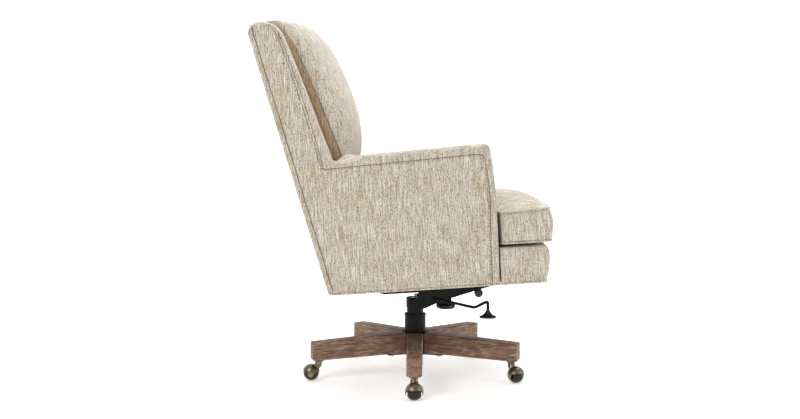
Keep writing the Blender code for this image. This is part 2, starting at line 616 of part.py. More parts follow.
def make_lever(lever_axis, black):
    """Cranked rod that turns in the housing's walls; its finger reaches back over the release pin."""
    def local(x, y, z):
        return (x - LEVER_AXIS_X, y, z - LEVER_AXIS_Z)

    half = HOUSING_HALF_WIDTH
    paddle_x, paddle_y, paddle_top = PADDLE_PLACE
    rod_end = paddle_top - 0.006
    ends = half + 0.005
    route = [local(LEVER_AXIS_X, ends, LEVER_AXIS_Z), local(LEVER_AXIS_X, -ends, LEVER_AXIS_Z)]
    route += [local(*bend) for bend in LEVER_BENDS]
    route += [local(paddle_x, paddle_y, LEVER_CREST - 0.004), local(paddle_x, paddle_y, rod_end)]
    curve = bpy.data.curves.new("lever_rod_path", "CURVE")
    curve.dimensions = "3D"
    curve.bevel_depth = LEVER_ROD_RADIUS
    curve.bevel_resolution = 2
    curve.use_fill_caps = True
    spline = curve.splines.new("POLY")
    spline.points.add(len(route) - 1)
    for point, place in zip(spline.points, route):
        point.co = (*place, 1.0)
    path = bpy.data.objects.new("lever_rod_path", curve)
    CUTTERS.objects.link(path)
    bpy.context.view_layer.update()
    mesh = bpy.data.meshes.new_from_object(path.evaluated_get(bpy.context.evaluated_depsgraph_get()))
    bpy.data.objects.remove(path)
    bm = bmesh.new()
    bm.from_mesh(mesh)
    bmesh.ops.remove_doubles(bm, verts=bm.verts, dist=0.00001)
    lever = part("lift_lever", mesh_from(bm, "lift_lever"), black, lever_axis)
    finger_bottom = RELEASE_PIN_TOP + GAP
    wide = LEVER_FINGER_HALF_WIDTH
    finger = [(-wide, finger_bottom), (0.006, finger_bottom), (LEVER_AXIS_X - 0.008, LEVER_AXIS_Z - 0.001),
              (LEVER_AXIS_X, LEVER_AXIS_Z - 0.002), (LEVER_AXIS_X, LEVER_AXIS_Z + 0.002),
              (LEVER_AXIS_X - 0.008, LEVER_AXIS_Z + 0.004), (0.008, finger_bottom + 0.004),
              (-wide, finger_bottom + 0.003)]
    finger = [(x - LEVER_AXIS_X, z - LEVER_AXIS_Z) for x, z in finger]
    finger = prism_mesh("lever_finger", finger, -wide, wide)
    join(lever, cutter("lever_finger", finger, lever_axis), "UNION")
    # A flared paddle on the rod's lower end, wider along the chair than across it
    rim = paddle_top - PADDLE_DROP
    r = PADDLE_RADIUS
    profile = [(0, paddle_top), (0.0056, paddle_top), (0.0070, paddle_top - 0.004), (r * 0.6, rim + 0.0040),
               (r - 0.0007, rim), (r, rim - 0.0020), (r - 0.0012, rim - 0.0038), (r * 0.55, rim - 0.0065),
               (0, rim - 0.0065)]
    profile = [(out, z - LEVER_AXIS_Z) for out, z in profile]
    paddle = turned("lever_paddle", profile, black, lever_axis, steps=32)
    paddle.location = (paddle_x - LEVER_AXIS_X, paddle_y, 0)
    paddle.scale = (1.0, PADDLE_WIDTH, 1.0)
    hole = rod_mesh("paddle_hole", LEVER_ROD_RADIUS + GAP, local(paddle_x, paddle_y, rod_end - GAP),
                    local(paddle_x, paddle_y, paddle_top + 0.01))
    join(paddle, cutter("paddle_hole", hole, lever_axis), "DIFFERENCE")


def make_seat_plate(seat, black):
    """Pressed plate under the seat with a deep flange down each side, drilled for the tilt axle."""
    slope = math.tan(SEAT_PITCH)
    top_z = (BODY_BOTTOM - GAP) / math.cos(SEAT_PITCH)
    under = PLATE_THICKNESS

    def along(x, drop):
        return (x, top_z + slope * x - drop)

    edge = [along(PLATE_REAR, 0), along(PLATE_REAR, FLANGE_REAR_DEPTH)]
    edge += FLANGE_EDGE
    edge += [along(PLATE_FRONT, FLANGE_FRONT_DEPTH), along(PLATE_FRONT, 0)]
    half = PLATE_HALF_WIDTH
    plate = part("seat_plate", prism_mesh("seat_plate", edge, -half, half), black, seat)
    inner = half - PLATE_THICKNESS
    rear, front = PLATE_REAR - 0.02, PLATE_FRONT - under
    hollow = [along(rear, under), along(front, under), along(front, 0.12), along(rear, 0.12)]
    hollow = prism_mesh("plate_hollow", hollow, -inner, inner)
    join(plate, cutter("plate_hollow", hollow, seat), "DIFFERENCE")
    reach = half + 0.02
    axle = rod_mesh("plate_axle_hole", TILT_AXLE_RADIUS + RUNNING, (TILT_AXIS_X, -reach, TILT_AXIS_Z),
                    (TILT_AXIS_X, reach, TILT_AXIS_Z), 24)
    join(plate, cutter("plate_axle_hole", axle, seat), "DIFFERENCE")
    boss = rod_mesh("lock_boss", LOCK_ROD_RADIUS + 0.004, (LOCK_X, -half - 0.006, LOCK_Z),
                    (LOCK_X, -inner + 0.010, LOCK_Z), 20)
    join(plate, cutter("lock_boss", boss, seat), "UNION")
    lock = rod_mesh("lock_hole", LOCK_ROD_RADIUS + RUNNING, (LOCK_X, -reach, LOCK_Z),
                    (LOCK_X, 0, LOCK_Z), 20)
    join(plate, cutter("lock_hole", lock, seat), "DIFFERENCE")


def make_tilt_lock(lock_axis, black, bright):
    """Push-pull rod through the plate's flange with a round knob."""
    inner_end = -PLATE_HALF_WIDTH + 0.030 - LOCK_KNOB_Y
    rod = rod_mesh("tilt_lock_rod", LOCK_ROD_RADIUS, (0, -LOCK_KNOB_LENGTH + 0.006, 0), (0, inner_end, 0), 16)
    part("tilt_lock_rod", rod, bright, lock_axis)
    r = LOCK_KNOB_RADIUS
    deep = LOCK_KNOB_LENGTH
    hole = LOCK_ROD_RADIUS + GAP
    profile = [(hole, 0), (r * 0.6, 0), (r * 0.9, -0.0015), (r, -0.006), (r, -deep + 0.006),
               (r * 0.88, -deep + 0.0015), (r * 0.5, -deep), (0, -deep), (0, -deep + KNOB_CAP),
               (hole, -deep + KNOB_CAP)]
    knob = turned("tilt_lock_knob", profile, black, lock_axis, closed=True, steps=28)
    knob.rotation_euler.x = -math.pi / 2


def rear_x(z):
    """The back's rear line in the body's side view."""
    return BACK_FOOT_X - (z - BODY_BOTTOM) * math.tan(BACK_RAKE)


def wing_x(z):
    """The wing's front edge, which curls back towards the top."""
    up = z - ARM_TOP_REAR
    return WING_FOOT_X - WING_LEAN * up - WING_CURL * up * abs(up)


def arch(y):
    """How much higher the back stands at this place across it than at its sides."""
    return TOP_ARCH * (1 - (y / BODY_HALF_WIDTH) ** 2)


def lift_at(y, z):
    """The arch's rise, which fades out below the shoulders."""
    fade_from, fade_to = BACK_SIDE_TOP - 0.17, BACK_SIDE_TOP - 0.02
    t = min(max((z - fade_from) / (fade_to - fade_from), 0), 1)
    return arch(y) * t * t * (3 - 2 * t)


def bend_top(mesh):
    """Lifts the upper part of a back piece by the arch, along the rake."""
    for vert in mesh.vertices:
        rise = lift_at(vert.co.y, vert.co.z)
        vert.co.z += rise
        vert.co.x -= rise * math.tan(BACK_RAKE)


def back_corner(near, far):
    """The arc that joins the top to the rear line, for the stretch that lies between two depths inside
    the rear line, upper end first."""
    radius = BACK_CORNER_RADIUS
    centre = (rear_x(BACK_SIDE_TOP - radius) + radius / math.cos(BACK_RAKE), BACK_SIDE_TOP - radius)
    behind = 180 + math.degrees(BACK_RAKE)
    start = behind - math.degrees(math.acos(1 - min(far / radius, 1)))
    end = behind - math.degrees(math.acos(1 - near / radius))
    return arc(centre, radius, start, end, 4)


def make_side(name, sign, body, fabric):
    """Arm and wing in one padded side, drawn as its side view and rounded along its edges."""
    inset = OUTSIDE_BACK_THICKNESS / math.cos(BACK_RAKE) + GAP
    top = BACK_SIDE_TOP
    edge = [(rear_x(BODY_BOTTOM) + inset, BODY_BOTTOM), (ARM_FRONT - ARM_FRONT_TUCK, BODY_BOTTOM),
            (ARM_FRONT, ARM_FRONT_BELLY), (ARM_FRONT - 2 * ARM_FRONT_TUCK, ARM_TOP_FRONT), ARM_SHOULDER,
            (wing_x(ARM_DIP_Z), ARM_DIP_Z)]
    radii = [BODY_FOOT_RADIUS, ARM_FRONT_TUCK, 0, ARM_CORNER_RADIUS, ARM_SHOULDER_RADIUS, ARM_DIP_RADIUS]
    steps = 5
    for i in range(1, steps):
        z = ARM_TOP_REAR + (top - 0.03 - ARM_TOP_REAR) * i / steps
        edge.append((wing_x(z), z))
        radii.append(0)
    rolled = back_corner(OUTSIDE_BACK_THICKNESS + GAP, BACK_CORNER_RADIUS)
    edge += [(wing_x(top), top)] + rolled
    radii += [WING_TOP_RADIUS] + [0] * len(rolled)
    low, high = BODY_HALF_WIDTH - ARM_WIDTH, BODY_HALF_WIDTH
    mesh = prism_mesh(name, rounded(edge, radii), low * sign, high * sign, slices=2)
    bend_top(mesh)
    side = part(name, mesh, fabric, body)
    bevel(side, SIDE_EDGE_ROUND, segments=2, angle=60.0)


def make_outside_back(body, fabric):
    """The padded outside back, full width, crowned a little to the rear and arched along its top."""
    depth = OUTSIDE_BACK_THICKNESS / math.cos(BACK_RAKE)
    rolled = back_corner(0, OUTSIDE_BACK_THICKNESS)
    top = rolled[-1][1]
    edge = [(rear_x(BODY_BOTTOM), BODY_BOTTOM), (rear_x(BODY_BOTTOM) + depth, BODY_BOTTOM)]
    radii = [OUTSIDE_BACK_THICKNESS / 2, 0]
    rows = 5
    for i in range(1, rows):
        z = BODY_BOTTOM + (top - BODY_BOTTOM) * i / rows
        edge.append((rear_x(z) + depth, z))
        radii.append(0)
    edge += rolled
    radii += [0] * len(rolled)
    for i in range(rows - 1, 0, -1):
        z = BODY_BOTTOM + (top - BODY_BOTTOM) * i / rows
        edge.append((rear_x(z), z))
        radii.append(0)
    half = BODY_HALF_WIDTH - 0.0005
    mesh = prism_mesh("outside_back", rounded(edge, radii), -half, half, slices=10)
    for vert in mesh.vertices:
        if vert.co.x < rear_x(vert.co.z) + depth * 0.7:
            vert.co.x -= OUTSIDE_BACK_CROWN * (1 - (vert.co.y / BODY_HALF_WIDTH) ** 2)
    bend_top(mesh)
    part("outside_back", mesh, fabric, body)


def make_back_deck(body, wood):
    """The boarded and webbed frame inside the back, between the sides."""
    near = OUTSIDE_BACK_THICKNESS / math.cos(BACK_RAKE) + 2 * GAP
    far = near + BACK_FRAME_THICKNESS
    low, high = BODY_BOTTOM + 0.03, BACK_SIDE_TOP - BACK_DECK_DROP
    edge = [(rear_x(low) + near, low), (rear_x(low) + far, low)]
    for i in (1, 2, 3):
        z = low + (high - low) * (0.6 + 0.1 * i)
        edge.append((rear_x(z) + far, z))
    edge += [(rear_x(high) + far, high), (rear_x(high) + near, high)]
    for i in (3, 2, 1):
        z = low + (high - low) * (0.6 + 0.1 * i)
        edge.append((rear_x(z) + near, z))
    half = BODY_HALF_WIDTH - ARM_WIDTH - GAP
    mesh = prism_mesh("back_deck", edge, -half, half, slices=6)
    bend_top(mesh)
    part("back_deck", mesh, wood, body)


def make_back_cushion(body, fabric):
    """The inside back: a crowned pad that swells from a side seam and rolls over the top of the deck."""
    half = BACK_CUSHION_HALF_WIDTH
    rear = OUTSIDE_BACK_THICKNESS / math.cos(BACK_RAKE) + 3 * GAP + BACK_FRAME_THICKNESS
    over = OUTSIDE_BACK_THICKNESS / math.cos(BACK_RAKE) + 2 * GAP
    foot = DECK_TOP + SOFT_GAP
    across, rows = 14, 16

    def front_x(y, z, top):
        """Seam line plus the crown, which fades towards the sides, the top and the foot of the swell."""
        stand = SEAM_STANDOFF_FOOT + (SEAM_STANDOFF_TOP - SEAM_STANDOFF_FOOT) * (z - 0.70) / 0.36
        if z <= BACK_CUSHION_SWELL_FROM:
            seam = wing_x(BACK_CUSHION_SWELL_FROM) + SEAM_STANDOFF_FOOT
            return seam + (BACK_CUSHION_SWELL_FROM - z) * math.tan(BACK_RAKE)
        q = (z - BACK_CUSHION_SWELL_FROM) / (top - BACK_CUSHION_SWELL_FROM)
        swell = (1 - (1 - q) ** SWELL_FOOT_POWER) * (1 - min(q, 1.0) ** SWELL_TOP_POWER) ** 0.5
        side = (1 - min(abs(y) / half, 1) ** SWELL_SIDE_POWER) ** SWELL_SIDE_ROUND
        return wing_x(z) + min(stand, SEAM_STANDOFF_FOOT) + BACK_CUSHION_CROWN * swell * side

    bm = bmesh.new()
    rings = []
    for i in range(across + 1):
        y = -half * math.cos(math.pi * i / across)
        deck_top = BACK_SIDE_TOP - BACK_DECK_DROP
        deck_top += lift_at(y, deck_top) + SOFT_GAP
        top = BACK_SIDE_TOP + arch(y) + 0.002
        ring = [(rear_x(foot) + rear, foot), (rear_x(0.75) + rear, 0.75), (rear_x(deck_top) + rear, deck_top),
                (rear_x(deck_top) + over, deck_top), (rear_x(top - 0.012) + over, top - 0.012),
                (rear_x(top) + over + 0.010, top - 0.002)]
        for j in range(rows + 1):
            share = (1 - math.cos(math.pi * j / rows)) / 2
            z = top - (top - BACK_CUSHION_SWELL_FROM) * share
            ring.append((front_x(y, z, top), z))
        ring.append((front_x(y, foot, top), foot))
        rings.append([bm.verts.new((x, y, z)) for x, z in ring])
    for one, other in zip(rings, rings[1:]):
        for j in range(len(one)):
            k = (j + 1) % len(one)
            bm.faces.new((one[j], one[k], other[k], other[j]))
    bm.faces.new(rings[0])
    bm.faces.new(reversed(rings[-1]))
    part("back_cushion", mesh_from(bm, "back_cushion"), fabric, body, smooth_angle=60.0)


def bow(y):
    """How far the front stands forward of its ends."""
    return FRONT_BOW * (1 - (y / BODY_HALF_WIDTH) ** 2)


def make_front_border(body, fabric):
    """The padded front below the cushion, which returns round the arm fronts to the full width."""
    rear = ARM_FRONT + BORDER_STANDOFF
    front, low, high = FRONT_BORDER_FRONT, BODY_BOTTOM, FRONT_BORDER_TOP
    edge = [(rear, low), (front - 0.012, low), (front, low + 0.055), (front - 0.004, high), (rear, high)]
    outline = rounded(edge, [0, 0.018, 0.09, 0.020, 0])
    half = BODY_HALF_WIDTH - 0.001
    mesh = prism_mesh("front_border", outline, -half, half, slices=10)
    for vert in mesh.vertices:
        vert.co.x += bow(vert.co.y) * (vert.co.x - rear) / (front - rear)
    border = part("front_border", mesh, fabric, body)
    bevel(border, 0.008, segments=2, angle=60.0)


def make_seat_inside(body, wood, fabric, cambric):
    """Webbed deck on cross rails between the arms, closed underneath by a dust cover."""
    half = BODY_HALF_WIDTH - ARM_WIDTH - GAP
    front = ARM_FRONT + BORDER_STANDOFF - GAP
    deck = block_mesh("seat_deck", (DECK_REAR, -half, DECK_TOP - DECK_THICKNESS), (front, half, DECK_TOP))
    part("seat_deck", deck, fabric, body)
    low = BODY_BOTTOM + DUST_COVER_THICKNESS + GAP
    high = DECK_TOP - DECK_THICKNESS - GAP
    for i, place in enumerate(SEAT_RAIL_PLACES):
        reach = SEAT_RAIL_WIDTH / 2
        rail = block_mesh("rail", (place - reach, -half, low), (place + reach, half, high))
        part(f"seat_rail_{i + 1}", rail, wood, body)
    cover = block_mesh("dust_cover", (rear_x(BODY_BOTTOM) + 0.030, -half, BODY_BOTTOM),
                       (front, half, BODY_BOTTOM + DUST_COVER_THICKNESS))
    part("dust_cover", cover, cambric, body)


def make_seat_cushion(body, fabric):
    """T-shaped seat cushion: a coarse cage with a crowned top and drawn-in edges, then subdivided."""
    inner = BODY_HALF_WIDTH - ARM_WIDTH - SOFT_GAP
    outer = BODY_HALF_WIDTH - 0.002
    ear = ARM_FRONT + 0.005
    rear, front = SEAT_CUSHION_REAR, SEAT_CUSHION_FRONT
    low, high = SEAT_CUSHION_WELT_BOTTOM, SEAT_CUSHION_WELT_TOP
    xs = [rear + (ear - rear) * i / 4 for i in range(5)] + [ear + (front - ear) * i / 3 for i in (1, 2, 3)]
    ys = [-outer, -inner] + [inner * i / 3 for i in (-2, -1, 0, 1, 2)] + [inner, outer]
    bm = bmesh.new()
    grid = {}
    cells = []
    for i in range(len(xs) - 1):
        for j in range(len(ys) - 1):
            if xs[i] < ear - 0.001 and abs(ys[j] + ys[j + 1]) / 2 > inner:
                continue
            corners = [(i, j), (i + 1, j), (i + 1, j + 1), (i, j + 1)]
            for a, b in corners:
                if (a, b) not in grid:
                    grid[a, b] = bm.verts.new((xs[a], ys[b], low))
            cells.append(bm.faces.new([grid[c] for c in corners]))
    lifted = [v for v in bmesh.ops.extrude_face_region(bm, geom=cells, use_keep_orig=True)["geom"]
              if isinstance(v, bmesh.types.BMVert)]
    bmesh.ops.translate(bm, verts=lifted, vec=(0, 0, high - low))
    middle = (low + high) / 2
    bmesh.ops.bisect_plane(bm, geom=bm.verts[:] + bm.edges[:] + bm.faces[:], plane_co=(0, 0, middle),
                           plane_no=(0, 0, 1))
    bm.normal_update()
    crease = bm.edges.layers.float.new("crease_edge")
    for edge in bm.edges:
        heights = {round(v.co.z, 4) for v in edge.verts}
        flat = [f.normal.z for f in edge.link_faces]
        if len(heights) == 1 and middle not in heights and any(abs(n) < 0.5 for n in flat):
            edge[crease] = 0.65
        at_arm = all(abs(abs(v.co.y) - inner) < 0.001 and v.co.x < ear + 0.001 or
                     abs(v.co.x - ear) < 0.001 and abs(v.co.y) > inner - 0.001 for v in edge.verts)
        if at_arm and any(abs(n) < 0.5 for n in flat):
            edge[crease] = 1.0
    for vert in bm.verts:
        x, y, z = vert.co
        width = inner if x < ear - 0.001 else outer
        u, v = 2 * (x - rear) / (front - rear) - 1, y / width
        if z > high - 0.001:
            vert.co.z += 1.12 * SEAT_CUSHION_CROWN * (1 - abs(u) ** 3.2) * (1 - abs(v) ** 3.2)
        if abs(z - middle) < 0.001 and x > ear + 0.001:
            vert.co.x += 0.010 if x > front - 0.001 else 0.0
        vert.co.x += bow(y) * max(0.0, (x - ear) / (front - ear))
    cushion = part("seat_cushion", mesh_from(bm, "seat_cushion"), fabric, body)
    step = cushion.modifiers.new("Soft form", "SUBSURF")
    step.levels = 1
    step.render_levels = 1


PARTS = CUTTERS = None


def build():
    global PARTS, CUTTERS
    clear_scene()
    PARTS = collection("executive_swivel_chair")
    CUTTERS = collection("cutters")
    CUTTERS.hide_render = True
    wood = finish("weathered_wood", (0.28, 0.19, 0.13), 0.6)
    black = finish("satin_black_steel", (0.015, 0.015, 0.016), 0.4, 0.3)
    moulded = finish("moulded_black", (0.012, 0.012, 0.013), 0.45)
    bright = finish("plated_steel", (0.55, 0.54, 0.52), 0.3, 1.0)
    brass = finish("antique_brass", (0.33, 0.25, 0.14), 0.3, 1.0)
    nylon = finish("nylon", (0.7, 0.7, 0.66), 0.5)
    fabric = finish("oatmeal_tweed", (0.58, 0.52, 0.42), 0.9)
    cambric = finish("black_cambric", (0.02, 0.02, 0.02), 0.95)
    hardwood = finish("frame_hardwood", (0.45, 0.32, 0.2), 0.7)
    base = empty("chair_base", (SWIVEL_X, 0, 0))
    make_hub(base, black)
    for i in range(LEG_COUNT):
        make_leg(i, base, wood)
    make_leg_bolts(base, bright)
    for i in range(LEG_COUNT):
        make_caster(i, base, brass, moulded, bright)
    swivel = empty("column_axis", (0, 0, 0), base)
    lift = empty("lift_axis", (0, 0, 0), swivel)
    pin_axis = empty("release_pin_axis", (0, 0, 0), lift)
    make_column(base, swivel, lift, pin_axis, black, bright, nylon)
    make_housing(lift, black, bright)
    knob_axis = empty("tension_knob_axis", (KNOB_X, 0, 0), lift)
    make_tension(lift, knob_axis, moulded, bright)
    lever_axis = empty("lift_lever_axis", (LEVER_AXIS_X, 0, LEVER_AXIS_Z), lift)
    make_lever(lever_axis, moulded)
    seat = empty("tilt_axis", (0, 0, 0), lift)
    make_seat_plate(seat, black)
    lock_axis = empty("tilt_lock_axis", (LOCK_X, LOCK_KNOB_Y, LOCK_Z), seat)
    make_tilt_lock(lock_axis, moulded, bright)
    body = empty("upholstered_body", (0, 0, 0), seat, pitch=SEAT_PITCH)
    make_side("side_right", -1, body, fabric)
    make_side("side_left", 1, body, fabric)
    make_outside_back(body, fabric)
    make_back_deck(body, hardwood)
    make_back_cushion(body, fabric)
    make_front_border(body, fabric)
    make_seat_inside(body, hardwood, fabric, cambric)
    make_seat_cushion(body, fabric)


build()
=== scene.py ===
import math

import bmesh
import bpy
import numpy as np
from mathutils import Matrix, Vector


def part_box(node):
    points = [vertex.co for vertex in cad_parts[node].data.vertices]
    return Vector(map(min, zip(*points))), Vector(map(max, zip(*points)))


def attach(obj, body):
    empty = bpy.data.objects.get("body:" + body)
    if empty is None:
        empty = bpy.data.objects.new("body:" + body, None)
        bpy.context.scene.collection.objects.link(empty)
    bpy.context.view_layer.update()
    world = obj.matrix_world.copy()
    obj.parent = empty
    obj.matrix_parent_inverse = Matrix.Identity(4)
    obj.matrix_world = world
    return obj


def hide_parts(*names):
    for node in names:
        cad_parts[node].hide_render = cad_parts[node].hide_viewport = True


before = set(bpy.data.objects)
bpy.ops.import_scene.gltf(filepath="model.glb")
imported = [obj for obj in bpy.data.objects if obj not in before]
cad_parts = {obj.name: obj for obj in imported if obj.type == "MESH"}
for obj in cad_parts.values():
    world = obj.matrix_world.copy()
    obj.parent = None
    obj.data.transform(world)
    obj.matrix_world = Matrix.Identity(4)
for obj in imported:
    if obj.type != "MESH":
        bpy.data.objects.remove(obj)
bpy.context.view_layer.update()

# The studio. A white paper sweep runs from the floor up behind the chair. One big soft light
# hangs high on the camera's left, a weaker one fills from the right, and white paper all round
# lights the rest. The camera looks square at the sitter's right side from three metres.
CAMERA_PLACE = (-0.0475, -3.0, 0.689)
CAMERA_PITCH = math.radians(3.3)
CAMERA_LENS = 43.47
SENSOR = 36.0
WORLD_STRENGTH = 0.50
PAPER_GLOW = 0.42


def linear(colour):
    """sRGB hex to linear: c / 12.92 up to 0.04045, and above it ((c + 0.055) / 1.055) to the power 2.4."""
    c = np.array([int(colour[i:i + 2], 16) for i in (1, 3, 5)]) / 255
    return (*np.where(c <= 0.04045, c / 12.92, ((c + 0.055) / 1.055) ** 2.4), 1.0)


def add(tree, kind, settings, inputs):
    """One node: its own settings by name, and each input given a value or another node's output."""
    made = tree.nodes.new(kind)
    for key, value in settings.items():
        setattr(made, key, value)
    for key, value in inputs.items():
        if isinstance(value, bpy.types.NodeSocket):
            tree.links.new(value, made.inputs[key])
        else:
            made.inputs[key].default_value = value
    return made


def new_finish(name, uv=None, **sockets):
    """A material, its node tree, and the place in the object's space or in its UV map. The shader's
    constant sockets are set by name."""
    made = bpy.data.materials.new(name)
    made.use_nodes = True
    tree = made.node_tree
    for socket, value in sockets.items():
        tree.nodes["Principled BSDF"].inputs[socket.replace("_", " ")].default_value = value
    if uv:
        return made, tree, add(tree, "ShaderNodeUVMap", {"uv_map": uv}, {}).outputs["UV"]
    return made, tree, add(tree, "ShaderNodeTexCoord", {}, {}).outputs["Object"]


def noise(tree, place, scale, detail, **more):
    """Noise from 0 to 1 with this many features to the metre."""
    inputs = {"Vector": place, "Scale": scale, "Detail": detail, **more}
    return add(tree, "ShaderNodeTexNoise", {}, inputs).outputs["Fac"]


def remap(tree, source, low, high, first=0.0, last=1.0):
    """A value that goes from first to last while its source goes from low to high, and no further."""
    ends = {"From Min": low, "From Max": high, "To Min": first, "To Max": last}
    return add(tree, "ShaderNodeMapRange", {}, {"Value": source, **ends}).outputs["Result"]


def blend(tree, factor, under, over, kind="MIX"):
    """The colour under with the colour over laid on by the factor, each as hex or a node's output."""
    under, over = (linear(colour) if isinstance(colour, str) else colour for colour in (under, over))
    settings = {"data_type": "RGBA", "blend_type": kind}
    return add(tree, "ShaderNodeMix", settings, {0: factor, 6: under, 7: over}).outputs[2]


def wire(tree, colour=None, rough=None, bumps=None, strength=0.0, depth=0.0):
    """Joins colour, roughness, and bumps of this strength and depth in metres, to the shader."""
    if bumps is not None:
        relief = {"Strength": strength, "Distance": depth, "Height": bumps}
        bumps = add(tree, "ShaderNodeBump", {}, relief).outputs["Normal"]
    for socket, value in (("Base Color", colour), ("Roughness", rough), ("Normal", bumps)):
        if value is not None:
            tree.links.new(value, tree.nodes["Principled BSDF"].inputs[socket])


def xyz(x, y, z):
    """Points from their coordinates, where a single number stands for all points."""
    return np.stack(np.broadcast_arrays(x, y, z), axis=-1)


def grid_faces(rows, columns, around):
    """Quads between neighbouring rows and columns; around also joins the last column to the first."""
    r, c = np.meshgrid(np.arange(rows - 1), np.arange(columns if around else columns - 1), indexing="ij")
    here, following = r * columns + c, r * columns + (c + 1) % columns
    return np.stack([here, following, following + columns, here + columns], axis=-1).reshape(-1, 4)


def new_piece(name, points, faces, sharp=180.0, capped=False):
    """An object from points and faces. Doubles are merged, loose points dropped, open ends capped if
    asked, faces turned outwards, and edges above the sharp angle stay crisp."""
    mesh = bpy.data.meshes.new(name)
    mesh.from_pydata(points.tolist(), [], faces.tolist())
    bm = bmesh.new()
    bm.from_mesh(mesh)
    bmesh.ops.remove_doubles(bm, verts=bm.verts, dist=2e-6)
    bmesh.ops.delete(bm, geom=[v for v in bm.verts if not v.link_faces], context="VERTS")
    if capped:
        bmesh.ops.holes_fill(bm, edges=bm.edges, sides=0)
    bmesh.ops.recalc_face_normals(bm, faces=bm.faces)
    if bm.calc_volume(signed=True) < 0:
        bmesh.ops.reverse_faces(bm, faces=bm.faces)
    bm.to_mesh(mesh)
    bm.free()
    mesh.shade_smooth()
    mesh.set_sharp_from_angle(angle=math.radians(sharp))
    piece = bpy.data.objects.new(name, mesh)
    bpy.context.scene.collection.objects.link(piece)
    return piece


def mesh_piece(name, *grids, around=True, sharp=40.0, capped=False):
    """An object from grids of points, each joined round into rings unless around is off."""
    starts = np.cumsum([0] + [grid.shape[0] * grid.shape[1] for grid in grids])
    faces = [grid_faces(*grid.shape[:2], around) + start for grid, start in zip(grids, starts)]
    points = np.concatenate([grid.reshape(-1, 3) for grid in grids])
    return new_piece(name, points, np.concatenate(faces), sharp, capped)


def make_sweep():
    """A paper sweep: floor, quarter circle, wall, all one curve in Y and Z carried along X."""
    floor_end, radius, wall, half = 2.6, 1.6, 6.0, 60.0
    t = np.linspace(0, np.pi / 2, 24)
    y = np.concatenate([[-half], floor_end + radius * np.sin(t), [floor_end + radius]])
    z = np.concatenate([[0.0], radius * (1 - np.cos(t)), [wall]])
    sweep = mesh_piece("paper_sweep", np.stack([xyz(-half, y, z), xyz(half, y, z)]), around=False)
    paper, tree, place = new_finish("white_studio_paper", Roughness=0.9, Emission_Color=linear("#FFFFFF"),
                                    Emission_Strength=PAPER_GLOW)
    wire(tree, blend(tree, noise(tree, place, 60, 4), "#F4F3F1", "#F7F6F5"))
    sweep.data.materials.append(paper)


def hang(name, data, place, turn):
    """A lamp or camera in the scene, at a place and turned."""
    made = bpy.data.objects.new(name, data)
    bpy.context.scene.collection.objects.link(made)
    made.location = place
    made.rotation_euler = turn
    return made


def hang_light(name, place, target, size, power, colour):
    """A square soft box at a place, turned to a target."""
    lamp = bpy.data.lights.new(name, "AREA")
    lamp.size = size
    lamp.energy = power
    lamp.color = linear(colour)[:3]
    x, y, z = np.array(target) - np.array(place)
    hang(name, lamp, place, (math.atan2(np.hypot(x, y), -z), 0, math.atan2(-x, y)))


make_sweep()
hang_light("key_soft_box", (-1.9, -2.7, 2.7), (0, 0, 0.6), 1.3, 52, "#FFFAF4")
hang_light("fill_soft_box", (3.0, -1.0, 1.9), (0.1, 0, 0.6), 2.0, 22, "#FFFDFA")
hang_light("top_soft_box", (0.3, 0.6, 3.6), (0, 0, 0.6), 2.4, 108, "#FFFFFF")
world = bpy.data.worlds.new("white_room")
world.use_nodes = True
world.node_tree.nodes["Background"].inputs["Color"].default_value = linear("#FFFFFF")
world.node_tree.nodes["Background"].inputs["Strength"].default_value = WORLD_STRENGTH
bpy.context.scene.world = world
lens = bpy.data.cameras.new("catalogue_camera")
lens.lens = CAMERA_LENS
lens.sensor_width = SENSOR
camera = hang("catalogue_camera", lens, CAMERA_PLACE, (math.pi / 2 - CAMERA_PITCH, 0, 0))
bpy.context.scene.camera = camera
bpy.context.scene.view_settings.view_transform = "Standard"

# The hub. A steel sleeve with a rolled lip is welded to a star plate with five arms, powder
# coated in satin black, and holds the gas column. The five wooden legs are bolted to its arms
# from below. The coat is thick, slightly pebbled, and soft in its highlights.
LEG_COUNT = 5
LEG_STEP = 2 * math.pi / LEG_COUNT
FIRST_LEG = math.radians(-91.4)
PEBBLE = 0.0011     # width of the powder coat's orange-peel bumps, drawn about twice their size


def powder_coat():
    """Powder-coated steel: near black, satin, with orange peel and a little dust in its roughness."""
    made, tree, place = new_finish("satin_black_powder_coat", IOR=1.5, Specular_IOR_Level=0.2)
    dust = noise(tree, place, 38, 5)
    wire(tree, blend(tree, dust, "#050607", "#0D0E10"), remap(tree, dust, 0.35, 0.70, 0.42, 0.58),
         noise(tree, place, 1 / PEBBLE, 2), 0.35, 0.0003)
    return made


def zinc_plate():
    """Bright zinc on turned steel: pale grey metal with a clouded gloss."""
    made, tree, place = new_finish("bright_zinc_plate", Metallic=1.0)
    cloud = noise(tree, place, 120, 3)
    wire(tree, blend(tree, cloud, "#A9A9A6", "#C9C8C4"), remap(tree, cloud, 0, 1, 0.20, 0.42))
    return made


def paint(material, *nodes):
    """Gives CAD nodes, kept as they are, this material."""
    for name in nodes:
        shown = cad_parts[name]
        shown.data.materials.clear()
        shown.data.materials.append(material)


def dress(piece, material, body, slot, *nodes):
    """Puts a finished piece in its material and on its body, for these nodes. The slot is not used."""
    piece.data.materials.append(material)
    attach(piece, body)
    if nodes:
        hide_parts(*nodes)
    return piece


def unit(vectors):
    """The same directions with length one."""
    return vectors / np.linalg.norm(vectors, axis=-1, keepdims=True)


def circle(steps):
    """Angles evenly all the way round."""
    return np.linspace(0, 2 * np.pi, steps, endpoint=False)


def heading(angle):
    """The level direction at this angle from ahead."""
    return np.array([math.cos(angle), math.sin(angle), 0])


